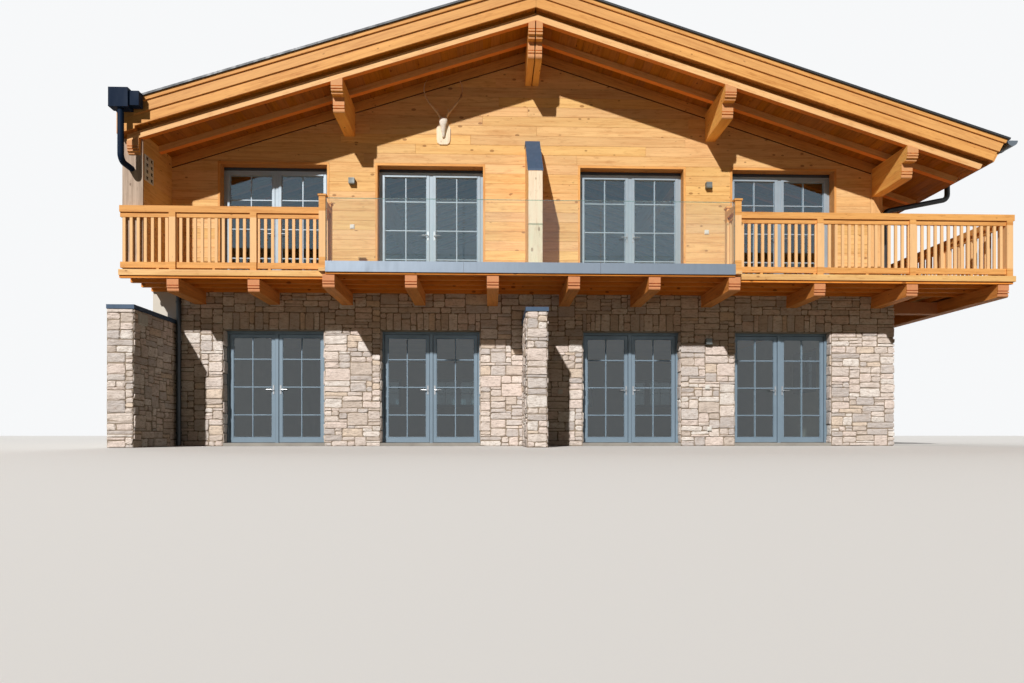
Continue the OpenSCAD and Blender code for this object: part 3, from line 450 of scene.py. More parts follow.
def verge_tones(shader, colour):
    """The middle board of the verge is a little greyer and pinker than the other two."""
    x, _, z = shader.axes(shader.position)
    height = shader.plus(z, shader.times(shader.math("ABSOLUTE", x), SLOPE))
    middle = shader.between(height, *(RIDGE_SOFFIT + above for above in MIDDLE_VERGE_BOARD))
    return shader.mix(shader.times(middle, 0.3), colour, srgb(227, 179, 123))


def facing(axis, other, share):
    """Faces that look along one axis take on another colour: end grain on the brackets and purlins, and
    painted bounce light on the rafters' undersides.
    """
    def change(shader, colour):
        normal = shader.node("ShaderNodeNewGeometry").outputs["True Normal"]
        part = shader.math("ABSOLUTE", shader.axes(normal)[axis])
        turned = shader.math("GREATER_THAN", part, 0.6)
        return shader.mix(shader.times(turned, share), colour, srgb(*other))
    return change


def paler_between(low, high, other, share):
    """What lies between two heights takes on another colour, for balusters between their rails."""
    def change(shader, colour):
        between = shader.between(shader.axes(shader.position)[2], low, high)
        return shader.mix(shader.times(between, share), colour, srgb(*other))
    return change


def stonework(name):
    """Split limestone in cream, beige, grey and pinkish tones, one tone for each stone."""
    shader = Shader(name)
    place = shader.position
    tones = [
        (0.00, (248, 237, 229)), (0.16, (238, 227, 220)), (0.32, (224, 218, 215)), (0.46, (246, 231, 223)),
        (0.60, (222, 209, 198)), (0.72, (253, 248, 243)), (0.84, (210, 204, 202)), (0.93, (241, 223, 203))]
    colour = shader.ramp(shader.island(), [(at, srgb(*tone)) for at, tone in tones], "CONSTANT")
    clouds = shader.noise(place, 6.5, 5.0, 0.7)
    patches = shader.noise(place, 15.0, 4.0, 0.6, 0.4, (1.0, 1.0, 2.0))
    grains = shader.noise(place, 80.0, 3.0, 0.6)
    veins = shader.noise(place, 10.0, 6.0, 0.7, 0.5, (1.0, 1.0, 3.5))
    colour = shader.stain(colour, clouds, 0.40, 0.68, 0.42, srgb(196, 180, 167))
    colour = shader.stain(colour, patches, 0.50, 0.66, 0.5, srgb(178, 160, 146))
    colour = shader.stain(colour, veins, 0.52, 0.68, 0.62, srgb(142, 126, 114))
    colour = shader.stain(colour, grains, 0.35, 0.75, 0.3, srgb(252, 247, 243))
    shader.set(Base_Color=colour, Roughness=0.92, Specular_IOR_Level=0.12)
    shader.bump(shader.plus(shader.times(veins, 0.8), shader.times(grains, 0.25)), 0.9, 0.03)
    return shader.material


def mineral(name, light, dark, scale=6.0, bump=0.3, roughness=0.92, inside=None):
    """Mortar, plaster or screed: two close tones in clouds, with fine grit.

    inside is the tone within the walls and on the outer side of the party wall.
    """
    shader = Shader(name)
    light, dark = srgb(*light), srgb(*dark)
    clouds = shader.noise(shader.position, scale, 5.0, 0.6)
    grit = shader.noise(shader.position, 120.0, 2.0, 0.6)
    colour = shader.stain(light, clouds, 0.3, 0.7, 1.0, dark)
    colour = shader.mix(shader.times(grit, 0.15), colour, dark)
    if inside:
        x, y, _ = shader.axes(shader.position)
        within = shader.times(shader.between(x, *ROOM_XS), shader.between(y, *ROOM_YS))
        party_side = shader.math("LESS_THAN", x, LEFT + 0.003)
        colour = shader.mix(shader.math("MAXIMUM", within, party_side), colour, srgb(*inside))
    shader.set(Base_Color=colour, Roughness=roughness, Specular_IOR_Level=0.15)
    shader.bump(shader.plus(shader.times(clouds, 0.5), grit), bump, 0.006)
    return shader.material


def sheet_metal(name, colour, roughness, metallic, shine=0.5, streaks=(3.0, 3.0, 0.6)):
    """Coated sheet with faint weathering streaks."""
    shader = Shader(name)
    colour = srgb(*colour)
    wear = shader.noise(shader.position, 2.4, 5.0, 0.6, 0.0, streaks)
    worn = shader.stain(colour, wear, 0.35, 0.75, 0.6, toned(colour, 0.72, 0.72, 0.72))
    rough = shader.range(wear, 0.3, 0.7, roughness - 0.08, roughness + 0.12)
    shader.set(Base_Color=worn, Metallic=metallic, Specular_IOR_Level=shine, Roughness=rough)
    shader.bump(shader.noise(shader.position, 9.0, 2.0), 0.04, 0.01)
    return shader.material


def glazing(name, tint, haze_tint, mirror_tint, index, far_tint=None):
    """Thin clear glass: light goes straight through, and more of it is mirrored at a low angle.

    mirror_tint is the share of red, green and blue that is mirrored, and far_tint the tint of panes away
    from the front, so that they don't shine through the house.
    """
    shader = Shader(name)
    haze = shader.noise(shader.position, 3.0, 2.0)
    colour = shader.stain(srgb(*tint), haze, 0.3, 0.7, 1.0, srgb(*haze_tint))
    if far_tint:
        far = shader.math("GREATER_THAN", shader.axes(shader.position)[1], FRONT_Y + 1)
        colour = shader.mix(far, colour, srgb(*far_tint))
    clear = shader.node("ShaderNodeBsdfTransparent", {"Color": colour})
    gloss = shader.node("ShaderNodeBsdfGlossy", {"Color": mirror_tint, "Roughness": 0.03})
    outside = shader.math("SUBTRACT", 1.0, shader.node("ShaderNodeNewGeometry").outputs["Backfacing"])
    mirror = shader.times(shader.node("ShaderNodeFresnel", {"IOR": index}).outputs[0], outside)
    both = shader.node("ShaderNodeMixShader", {0: mirror, 1: clear.outputs[0], 2: gloss.outputs[0]})
    shader.feed(shader.tree.nodes["Material Output"].inputs["Surface"], both.outputs[0])
    shader.tree.nodes.remove(shader.bsdf)
    return shader.material


def roof_tiles(name):
    """Dark tiles with a greyer bloom, one tone for each tile."""
    shader = Shader(name)
    clouds = shader.noise(shader.position, 7.0, 5.0, 0.65)
    grit = shader.noise(shader.position, 90.0, 2.0)
    tones = [(0.0, (58, 54, 53)), (0.35, (68, 62, 60)), (0.7, (50, 47, 48)), (1.0, (76, 68, 64))]
    colour = shader.ramp(shader.island(), [(at, srgb(*tone)) for at, tone in tones])
    colour = shader.stain(colour, clouds, 0.45, 0.75, 0.5, srgb(98, 92, 86))
    shader.set(Base_Color=colour, Roughness=0.8)
    shader.bump(shader.plus(shader.times(clouds, 0.4), grit), 0.35, 0.005)
    return shader.material


LARCH = (240, 198, 136), (212, 157, 97)
PALE = (238, 179, 107), (199, 133, 71)
END_GRAIN = facing(1, (204, 144, 110), 0.7)
RAIL_LOW, RAIL_HIGH = STOREY_Z + 0.18, STOREY_Z + 0.95

larch_x, larch_y = (wood(f"larch_boards_{axis}", axis, LARCH, variety=0.08) for axis in "xy")
larch_z = wood("larch_boards_z", "z", LARCH, variety=0.04)
larch_core = wood("larch_core", "x", (LARCH[1], PALE[1]))
pale_x, pale_y = (wood(f"pale_larch_{axis}", axis, PALE, knots=0.8) for axis in "xy")
pale_slope = wood("pale_larch_slope", "slope", PALE, knots=0.6, extra=verge_tones)
casing_wood = wood("casing_wood", "z", PALE, knots=0.4, space=upright_between(STOREY_Z, WINDOW_HEAD))
# The rafters' downward faces take a brighter orange: painted bounce light from below, not a colour of the
# wood.
rafter_wood = wood("rafter_wood", "slope", ((246, 200, 142), (220, 162, 102)), knots=0.6,
                   extra=facing(2, (250, 150, 62), 0.85))
bracket_wood = wood("bracket_wood", "y", ((242, 164, 88), (204, 124, 58)), knots=0.6, extra=END_GRAIN)
purlin_wood = wood("purlin_wood", "y", ((255, 198, 112), (232, 156, 78)), knots=0.6, extra=END_GRAIN)
# The soffit boards are darker than the wall larch: painted shade under the roof, over a slightly browner
# wood.
soffit_wood = wood("soffit_boards", "y", ((184, 120, 48), (144, 90, 31)), variety=0.02)
# Dark wood for a strip of painted shadow: the shadow line under the wall-top board.
painted_shadow_wood = wood("painted_shadow_wood", "slope", ((84, 48, 18), (60, 34, 13)), knots=0.0)
joist_wood = wood("joist_wood", "x", ((250, 162, 72), (210, 126, 52)))
railing_wood = wood("railing_wood", "x", PALE, knots=0.5, space=upright_between(RAIL_LOW, RAIL_HIGH),
                    extra=paler_between(RAIL_LOW, RAIL_HIGH, (252, 214, 164), 0.62))
natural_wood = wood("natural_wood", "z", ((252, 238, 214), (234, 210, 176)), knots=0.9)
weathered_wood = wood("weathered_wood", "z", ((196, 176, 158), (150, 130, 114)), knots=0.8)
stone = stonework("split_stone")
mortar = mineral("mortar", (168, 154, 138), (134, 121, 106), inside=(214, 210, 202))
render_coat = mineral("render_coat", (226, 222, 212), (208, 203, 192), 2.0)
screed = mineral("floor_screed", (170, 168, 162), (150, 147, 142), 3.0, 0.1)
white_plastic = mineral("white_plastic", (232, 232, 228), (222, 222, 217), 2.0, 0.02, 0.4)
bone = mineral("bone", (250, 246, 238), (226, 216, 200), 18.0, 0.3, 0.6)
antler = mineral("antler", (250, 222, 190), (214, 178, 142), 26.0, 0.5, 0.6)
# One grey-blue paint in two tones: window_paint is the lighter copy, painted light for the sunlit windows,
# and frame_paint the darker one, painted shade for the doors under the balcony.
frame_paint = sheet_metal("frame_paint", (129, 150, 167), 0.38, 0.1, 0.3, (1.0, 1.0, 1.0))
window_paint = sheet_metal("window_paint", (160, 178, 192), 0.38, 0.1, 0.35, (1.0, 1.0, 1.0))
steel = sheet_metal("brushed_steel", (176, 180, 184), 0.28, 0.9, 0.5, (30.0, 1.0, 1.0))
dark_metal = sheet_metal("dark_metal", (50, 54, 58), 0.45, 0.4)
grey_metal = sheet_metal("grey_metal", (128, 142, 158), 0.4, 0.4)
gutter_metal = sheet_metal("gutter_metal", (106, 118, 130), 0.4, 0.3)
zinc_cap = sheet_metal("zinc_cap", (70, 93, 120), 0.5, 0.05, 0.3)
slate_metal = sheet_metal("slate_metal", (12, 32, 56), 0.6, 0.0, 0.1)
lamp_metal = sheet_metal("lamp_metal", (120, 127, 127), 0.5, 0.2, 0.3)
# The blue in the panes' mirror tints is painted reflection that stands for a blue sky mirrored in the glass.
# It is strongest in window_pane and fainter on the door and balcony panes.
window_pane = glazing("window_pane", (222, 232, 236), (232, 240, 242), (0.55, 0.82, 1, 1), 2.1,
                      far_tint=(120, 128, 132))
door_pane = glazing("door_pane", (224, 232, 232), (234, 240, 238), (0.86, 0.92, 0.95, 1), 2.0)
balcony_pane = glazing("balcony_pane", (249, 253, 252), (252, 254, 254), (0.9, 0.95, 1, 1), 1.7)
glass_edge = glazing("glass_edge", (188, 212, 208), (196, 220, 216), (0.92, 0.98, 0.97, 1), 2.8)
tiles_dark = roof_tiles("roof_tiles")

# What each node of the CAD model is made of
for material, node_names in (
        (screed, ["ground_floor"]),
        (mortar, ["front_stone_piers", "front_stone_lintel", "right_stone_wall", "back_stone_wall",
                  "stone_screens"]),
        (render_coat, ["party_wall"]),
        (pale_x, ["upper_floor"]),
        (larch_core, ["front_timber_wall", "front_gable", "right_timber_wall", "back_timber_wall",
                      "timber_wing_wall", "timber_divider"]),
        (purlin_wood, ["ridge_purlin", "side_purlins"]),
        (rafter_wood, ["left_rafters", "right_rafters"]),
        (soffit_wood, ["roof_deck"]),
        (tiles_dark, ["roof_covering"]),
        (pale_slope, ["verge_boards"]),
        (pale_y, ["eaves_board"]),
        (bracket_wood, ["balcony_brackets"]),
        (joist_wood, ["balcony_joists"]),
        (larch_x, ["balcony_deck", "deck_edge_boards"]),
        (railing_wood, ["front_railings", "side_railing", "glass_end_railings"]),
        (casing_wood, ["window_casings"]),
        (zinc_cap, ["metal_wall_caps"]),
        (dark_metal, ["ridge_cap", "right_downpipe", "shutter_boxes"]),
        (gutter_metal, ["eaves_gutter"]),
        (slate_metal, ["valley_gutter", "rain_hopper"]),
        (grey_metal, ["glass_channel"]),
        (lamp_metal, ["wall_lamps"]),
        (window_paint, ["window_frames"]),
        (frame_paint, ["door_frames"] + [f"leaf_frame_{i}" for i in LEAVES]),
        (window_pane, ["window_glass"]),
        (door_pane, [f"leaf_glass_{i}" for i in LEAVES]),
        (balcony_pane, ["balcony_glass"])):
    for node_name in node_names:
        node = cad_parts[node_name]
        node.data.materials.clear()
        node.data.materials.append(material)


# Stonework

STONE_GAP = 0.002
STONE_PROUD = 0.028
STONE_BACK = -0.01
SOLDIER_H = 0.33
CELL_W = 0.068
CELL_H = 0.056


def lay_stone(face, u0, v0, u1, v1):
    """One split stone: an uneven face, a broken edge and sides that run back into the mortar."""
    rng = face.rng
    u0, v0, u1, v1 = u0 + STONE_GAP, v0 + STONE_GAP, u1 - STONE_GAP, v1 - STONE_GAP
    edge = min(0.024, (u1 - u0) * 0.26, (v1 - v0) * 0.26)
    proud = STONE_PROUD * rng.uniform(0.5, 1.0)
    lean_u, lean_v = rng.uniform(-0.008, 0.008), rng.uniform(-0.008, 0.008)
    inner = 2 if u1 - u0 < 0.17 else 3
    us = [u0] + [u0 + edge + (u1 - u0 - 2 * edge) * k / (inner - 1) for k in range(inner)] + [u1]
    vs = [v0, v0 + edge, v1 - edge, v1]
    if v1 - v0 > 0.13:
        vs.insert(2, v0 + (v1 - v0) * rng.uniform(0.4, 0.6))
    grid = []
    for j, v in enumerate(vs):
        row = []
        for i, u in enumerate(us):
            du = (i == 0) - (i == len(us) - 1)
            dv = (j == 0) - (j == len(vs) - 1)
            tilt = lean_u * (2 * i / (len(us) - 1) - 1) + lean_v * (2 * j / (len(vs) - 1) - 1)
            if du or dv:
                pull = rng.uniform(0.2, 1.0) * edge if du and dv else rng.uniform(0.0, 0.5) * edge
                row.append((u + du * pull, v + dv * pull, proud + tilt - rng.uniform(0.007, 0.016)))
            else:
                row.append((u, v, proud + tilt - rng.uniform(0.0, 0.01)))
        grid.append(row)
    face.rough_slab(grid, STONE_BACK)


def grid_lines(breaks, cell, rng):
    """Lines about a cell apart that keep the given breaks and are uneven between them."""
    lines = []
    for low, high in zip(breaks, breaks[1:]):
        if high - low < 0.001:
            continue
        count = max(1, round((high - low) / cell))
        pitch = (high - low) / count
        lines.append(low)
        lines.extend(low + pitch * (k + rng.uniform(-0.28, 0.28)) for k in range(1, count))
    return lines + [breaks[-1]]


def lay_rubble(face, u_breaks, v_breaks, blocked=()):
    """Stones of many sizes fitted together on a grid; blocked lists the places left free."""
    us = grid_lines(u_breaks, CELL_W, face.rng)
    vs = grid_lines(v_breaks, CELL_H, face.rng)
    columns, rows = len(us) - 1, len(vs) - 1
    taken = []
    for j in range(rows):
        v = (vs[j] + vs[j + 1]) / 2
        middles = [(us[i] + us[i + 1]) / 2 for i in range(columns)]
        taken.append([any(a < u < b and low < v < high for a, low, b, high in blocked) for u in middles])
    for j in range(rows):
        for i in range(columns):
            if taken[j][i]:
                continue
            run = 1
            while i + run < columns and not taken[j][i + run]:
                run += 1
            width = min(run, face.rng.choice((2, 3, 3, 4, 4, 5, 5, 6, 7)))
            if run - width == 1:
                width += 1
            height = 1
            most = min(width, face.rng.choice((1, 1, 2, 2, 2, 3, 3, 4)))
            while height < most and j + height < rows and not any(taken[j + height][i:i + width]):
                height += 1
            for row in taken[j:j + height]:
                row[i:i + width] = [True] * width
            lay_stone(face, us[i], vs[j], us[i + width], vs[j + height])


def lay_soldiers(face, u0, v0, u1, v1):
    """A row of upright stones, some of them in two pieces."""
    for left, right in split(u0, u1, 0.08, 0.2, face.rng):
        if face.rng.random() < 0.35:
            middle = v0 + (v1 - v0) * face.rng.uniform(0.3, 0.7)
            lay_stone(face, left, v0, right, middle)
            lay_stone(face, left, middle, right, v1)
        else:
            lay_stone(face, left, v0, right, v1)


def lay_jambs(solids, wall, holes, into, depth, low):
    """Stones on the sides of openings up to the door heads; into points from the wall's face inwards."""
    along = Y if into.x else X
    for left, right in holes:
        for edge, turn in ((left, 1), (right, -1)):
            u_axis = into if into.cross(Z).dot(along) * turn > 0 else -into
            jamb = solids.face(along * edge + wall, u_axis, Z)
            near, far = sorted((0, depth if u_axis == into else -depth))
            for v_low, v_high in split(low, DOOR_HEAD, 0.14, 0.3, solids.rng):
                lay_stone(jamb, near, v_low, far, v_high)


def stone_wall(name, seed, wall, u_axis, u0, u1, top, centres, width, sill, foot, into, depth):
    """A stone wall with a row of openings, upright stones over each and stones on its sides.

    wall is a point on its face, sill the openings' foot there and foot that of the stones on their sides.
    """
    solids = Solids(seed)
    face = solids.face(wall, u_axis, Z)
    holes = [(c - width / 2, c + width / 2) for c in centres]
    head = DOOR_HEAD + SOLDIER_H
    lay_rubble(face, [u0] + [edge for hole in holes for edge in hole] + [u1],
               [0, sill, DOOR_HEAD, head, top], [(left, sill, right, head) for left, right in holes])
    for left, right in holes:
        lay_soldiers(face, left, DOOR_HEAD, right, head)
    lay_jambs(solids, wall, holes, into, depth, foot)
    solids.make(name, stone, "stone")


def stone_walls():
    stone_wall("front_stones", 11, Y * FRONT_Y, X, PARTY_IN, HALF_W + STONE_PROUD, DECK_UNDER,
               OPENING_XS, OPENING_W, 0, FLOOR_Z, Y, FRAME_Y - FRONT_Y)
    stone_wall("right_stones", 12, X * HALF_W, Y, FRONT_Y, BACK_Y, DECK_UNDER,
               SIDE_WINDOW_YS, SIDE_WINDOW_W, GROUND_SILL, GROUND_SILL, -X, REVEAL / 2)
    stone_wall("back_stones", 13, Y * BACK_Y, -X, -HALF_W, -PARTY_IN, STOREY_Z,
               OPENING_XS, OPENING_W, GROUND_SILL, GROUND_SILL, -Y, REVEAL)


def stone_screens():
    solids = Solids(14)
    low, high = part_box("stone_screens")
    for left, right in ((low.x, PARTY_IN), (-high.x, high.x)):
        lay_rubble(solids.face(Y * low.y, X, Z), [left, right], [0, high.z])
        lay_rubble(solids.face(X * right, Y, Z), [low.y, FRONT_Y], [0, high.z])
        if left > low.x:
            lay_rubble(solids.face(X * left, -Y, Z), [-FRONT_Y, -low.y], [0, high.z])
    solids.make("screen_stones", stone, "stone")


def window_sills():
    """Stone sills under the small ground-storey windows."""
    solids = Solids()
    low, high, nose = GROUND_SILL - 0.03, GROUND_SILL + 0.012, 0.04
    for x in OPENING_XS:
        solids.box((x - OPENING_W / 2, BACK_Y - REVEAL, low), (x + OPENING_W / 2, BACK_Y + nose, high), 0.006)
    for y in SIDE_WINDOW_YS:
        solids.box((HALF_W - REVEAL / 2, y - SIDE_WINDOW_W / 2, low),
                   (HALF_W + nose, y + SIDE_WINDOW_W / 2, high), 0.006)
    solids.make("stone_sills", stone, "stone")


# Timber boards

BOARD_H = 0.183
BOARD_PROUD = 0.013
BOARD_BACK = -0.004
CASING_EDGE = 0.02
CORNER_W = 0.215
DIVIDER_TOP = 4.84
SOFFIT_END = 8.08
BOARDING_FRONT = 6.93


def around(span, left, hole_low, right, hole_high):
    """The parts of a length of board that lie beside, over and under an opening."""
    a, b, low, high = span
    if right <= a or left >= b or hole_high <= low or hole_low >= high:
        return [span]
    over = max(a, left), min(b, right)
    parts = [(a, left, low, high), (right, b, low, high), (*over, hole_high, high), (*over, low, hole_low)]
    return [part for part in parts if part[0] < part[1] and part[2] < part[3]]


def lay_boards(face, u0, u1, v0, v1, holes=(), roof=()):
    """Level boards over a wall; holes are (left, low, right, high) and roof cuts the outlines."""
    for low, high in steps(v0, v1, BOARD_H):
        spans = [(u0, u1, low, high)]
        for hole in holes:
            spans = [part for span in spans for part in around(span, *hole)]
        for a, b, v_a, v_b in spans:
            for left, right in split(a, b, 2.6, 5.4, face.rng):
                outline = rectangle(left + 0.001, v_a + 0.001, right - 0.001, v_b - 0.001)
                for half_plane in roof:
                    outline = clip(outline, *half_plane)
                if len(outline) >= 3:
                    face.slab(outline, BOARD_BACK, BOARD_PROUD, 0.003)


def window_holes(centres, width, low, high):
    """Places of windows with their casings, left free by the boards."""
    reach = width / 2 + CASING_EDGE
    return [(c - reach, low, c + reach, high + CASING_EDGE) for c in centres]


# Half-planes that cut the boards of a gable wall off under the soffit
UNDER_SOFFIT = [(side * SLOPE, 1, RIDGE_SOFFIT - 0.002) for side in (1, -1)]


def timber_front():
    boards = Solids(21)
    corner_x = TIMBER_X - CORNER_W
    holes = window_holes(OPENING_XS, WINDOW_W, STOREY_Z, WINDOW_HEAD)
    lay_boards(boards.face(Y * FRONT_Y, X, Z), WING_IN, corner_x, STOREY_Z, RIDGE_SOFFIT, holes, UNDER_SOFFIT)
    boards.make("front_boards", larch_x, "larch")
    corner = Solids()
    top = soffit(TIMBER_X)
    corner.face(Y * FRONT_Y, X, Z).board(
        corner_x + 0.003, STOREY_Z, TIMBER_X + 0.016, top - 0.01, BOARD_BACK, 0.018, 0.005)
    corner.face(X * TIMBER_X, Y, Z).board(
        FRONT_Y, STOREY_Z, FRONT_Y + 0.2, top - 0.02, BOARD_BACK, 0.018, 0.005)
    corner.make("corner_boards", larch_z, "larch")


def timber_sides():
    right, back = Solids(22), Solids()
    back.rng = right.rng
    low = UPPER_SILL - CASING_EDGE
    holes = window_holes(SIDE_WINDOW_YS, SIDE_WINDOW_W, low, UPPER_WINDOW_TOP)
    lay_boards(right.face(X * TIMBER_X, Y, Z), FRONT_Y + 0.203, BACK_Y, STOREY_Z,
               soffit(TIMBER_X + BOARD_PROUD) - 0.006, holes)
    right.make("right_boards", larch_y, "larch")
    holes = window_holes([-x for x in OPENING_XS], OPENING_W, low, UPPER_WINDOW_TOP)
    lay_boards(back.face(Y * BACK_Y, -X, Z), -TIMBER_X - BOARD_PROUD, -PARTY_IN, STOREY_Z,
               RIDGE_SOFFIT, holes, UNDER_SOFFIT)
    back.make("back_boards", larch_x, "larch")


def wing_and_divider():
    boards, post, front = Solids(23), Solids(), Solids()
    lay_boards(boards.face(X * WING_IN, Y, Z), WING_Y + 0.004, FRONT_Y, STOREY_Z, soffit(WING_IN) - 0.01)
    low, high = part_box("timber_divider")
    for x, along, u0, u1 in ((high.x, 1, low.y + 0.02, FRONT_Y), (low.x, -1, -FRONT_Y, -low.y - 0.02)):
        lay_boards(boards.face(X * x, Y * along, Z), u0, u1, STOREY_Z, high.z,
                   roof=[(-along, 1, DIVIDER_TOP - low.y - 0.004)])
    boards.make("wing_boards", larch_y, "larch")
    post.face(Y * low.y, X, Z).board(
        low.x - 0.012, STOREY_Z, high.x + 0.012, DIVIDER_TOP - 0.01, -0.02, 0.016, 0.005)
    post.make("divider_post", natural_wood, "pale_larch")
    wing = front.face(Y * WING_Y, X, Z)
    middle = (LEFT + WING_IN) / 2
    for left, right in ((LEFT + 0.001, middle), (middle, WING_IN + 0.013)):
        wing.board(left, STOREY_Z, right, soffit(WING_IN) - 0.12, BOARD_BACK, 0.014, 0.004, gap_u=0.0005)
    front.make("wing_front_boards", weathered_wood, "larch")


def soffit_boarding():
    """Boards under the roof that run along the house, seen between the rafters."""
    solids = Solids(24)
    for side, end in ((-1, -LEFT - 0.01), (1, SOFFIT_END)):
        face = solids.face(Z * RIDGE_SOFFIT, Y * side, down_slope(side))
        for low, high in steps(0.012, end / cos(PITCH), 0.16):
            for left, right in split(-BOARDING_FRONT, BOARDING_FRONT, 3.5, 5.5, solids.rng):
                face.board(left, low, right, high, -0.003, 0.008, 0.003, 0.001, 0.001)
    solids.make("soffit_boards", soffit_wood, "soffit_wood")


def wall_top_boards():
    """A broad board under the soffit along both slopes of the front wall, over a dark strip of painted shadow
    that stands for the shadow line under it.
    """
    boards, shadow_strip = Solids(), Solids()
    for side, end in ((-1, -WING_IN - 0.014), (1, TIMBER_X + 0.016)):
        # The second, darker strip paints the shadow line under the board.
        for solids, top, low, proud in ((boards, 0.012, 0.19, 0.024), (shadow_strip, 0.19, 0.216, 0.0145)):
            outline = [(0, RIDGE_SOFFIT - low), (end * side, soffit(end) - low),
                       (end * side, soffit(end) - top), (0, RIDGE_SOFFIT - top)]
            solids.face(Y * FRONT_Y, X, Z).slab(outline[::side], BOARD_BACK, proud, 0.003)
    boards.make("wall_top_boards", pale_slope, "pale_larch")
    shadow_strip.make("wall_top_shadow_strip", painted_shadow_wood, "soffit_wood")


# Balcony

DECK_BOARD_W = 0.145
DECK_BACK = -0.002
DECK_PROUD = 0.006
BLOCK_PITCH = 0.95
BLOCK_HALF = 0.022


def deck_boards():
    """Boards of the balcony floor, along the front and along the side."""
    solids = Solids(25)
    floor = solids.face(Z * STOREY_Z, X, Y)
    glass_left, glass_right = (corner.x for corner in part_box("balcony_glass"))
    outer_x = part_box("balcony_deck")[1].x - 0.01
    near, glass_near, back = -6.96, -7.35, FRONT_Y - 0.03
    for left, right, front in ((WING_IN + 0.02, glass_left, near), (glass_left, glass_right, glass_near),
                               (glass_right, outer_x, near)):
        for v0, v1 in steps(front, back, DECK_BOARD_W):
            for u0, u1 in split(left, right, 2.4, 4.0, solids.rng):
                floor.board(u0, v0, u1, v1, DECK_BACK, DECK_PROUD, 0.002, 0.002, 0.003)
    for u0, u1 in steps(HALF_W - 0.2, outer_x, DECK_BOARD_W):
        for v0, v1 in split(back, BACK_Y - 0.01, 2.4, 4.0, solids.rng):
            floor.board(u0, v0, u1, v1, DECK_BACK, DECK_PROUD, 0.002, 0.003, 0.002)
    solids.make("deck_boards", larch_x, "larch")


def railing_blocks():
    """Short blocks that carry the foot rail between the posts."""
    solids = Solids()
    low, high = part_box("front_railings")
    side_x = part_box("side_railing")[1].x - 0.055
    spots = [(left + BLOCK_PITCH * k, (low.y + high.y) / 2) for left, count in ((-6.5, 3), (4.0, 5))
             for k in range(count)]
    spots += [(side_x, -6.2 + BLOCK_PITCH * k) for k in range(13)]
    for x, y in spots:
        solids.box((x - BLOCK_HALF, y - BLOCK_HALF, STOREY_Z - 0.002),
                   (x + BLOCK_HALF, y + BLOCK_HALF, STOREY_Z + 0.085), 0.003)
    solids.make("railing_blocks", pale_x, "pale_larch")


def glass_edges():
    """The polished upper and side edges of the balcony's glass, which catch the light."""
    solids = Solids()
    low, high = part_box("balcony_glass")
    y0, y1 = low.y - 0.0005, high.y + 0.0005
    solids.box((low.x, y0, high.z - 0.009), (high.x, y1, high.z + 0.0005), 0.001)
    for x in (low.x, high.x - 0.006):
        solids.box((x, y0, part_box("glass_channel")[1].z), (x + 0.006, y1, high.z - 0.010), 0.001)
    solids.make("glass_edges", glass_edge, "clear_glass")


# Roof covering

TILE_W = 0.302
TILE_PITCH = 0.335
TILE_LAP = 0.05
TILE_BASE_T = 0.010
VERGE_W = 0.012


def roof_slopes(solids):
    """For each slope a plane on the underside of the covering, and the slope's length."""
    ridge = Z * (COVER_HIGH.z + 0.01 * SLOPE - COVER_T)
    for side, reach in ((-1, -COVER_LOW.x - 0.011), (1, COVER_HIGH.x - 0.018)):
        yield solids.face(ridge, Y * -side, down_slope(side)), reach / cos(PITCH)


def tiled_roof():
    """Courses of flat tiles on a thin base, inside the covering's own thickness."""
    solids = Solids(31)
    y0, y1 = COVER_LOW.y + VERGE_W, COVER_HIGH.y - VERGE_W
    for face, length in roof_slopes(solids):
        face.board(y0, 0.012, y1, length, 0.0, TILE_BASE_T, 0.001)
        for row, (top, foot) in enumerate(steps(0.02, length, TILE_PITCH)):
            lap = TILE_LAP if row else 0.0
            edges = [y0]
            edge = y0 + (TILE_W / 2 if row % 2 else TILE_W)
            while edge < y1 - 0.06:
                edges.append(edge)
                edge += TILE_W
            edges.append(y1)
            for left, right in zip(edges, edges[1:]):
                height = COVER_T * cos(PITCH) + solids.rng.uniform(-0.002, 0.0)
                tile(face, left + 0.002, right - 0.002, top - lap, foot, height)
    piece = solids.make("roof_tiles", tiles_dark, "roof_tile")
    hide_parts("roof_covering")


def tile(face, left, right, top, foot, height):
    """A flat tile that rises towards its foot, where it is rounded over."""
    side = 0.006
    profile = [(top, TILE_BASE_T + 0.005), (foot - 0.02, height - 0.002), (foot - 0.004, height - 0.005),
               (foot, height - 0.011)]
    rings = [[(left, TILE_BASE_T), (left, h - 0.003), (left + side, h),
              (right - side, h), (right, h - 0.003), (right, TILE_BASE_T)] for _, h in profile]
    face.solids.loft([[face.place(u, v, h) for u, h in ring] for ring, (v, _) in zip(rings, profile)])


def verge_flashing():
    """Dark folded strips along both verges."""
    solids = Solids()
    for face, length in roof_slopes(solids):
        for left in (COVER_LOW.y, COVER_HIGH.y - VERGE_W):
            for v0, v1 in steps(0.015, length, 1.98):
                face.board(left, v0, left + VERGE_W, v1, 0.0, COVER_T * cos(PITCH), 0.002, gap_v=0.001)
    solids.make("verge_flashing", dark_metal, "dark_metal")


# Doors and windows

SASH_PROUD = 0.012
BAR_HALF = 0.012
BEAD = 0.012


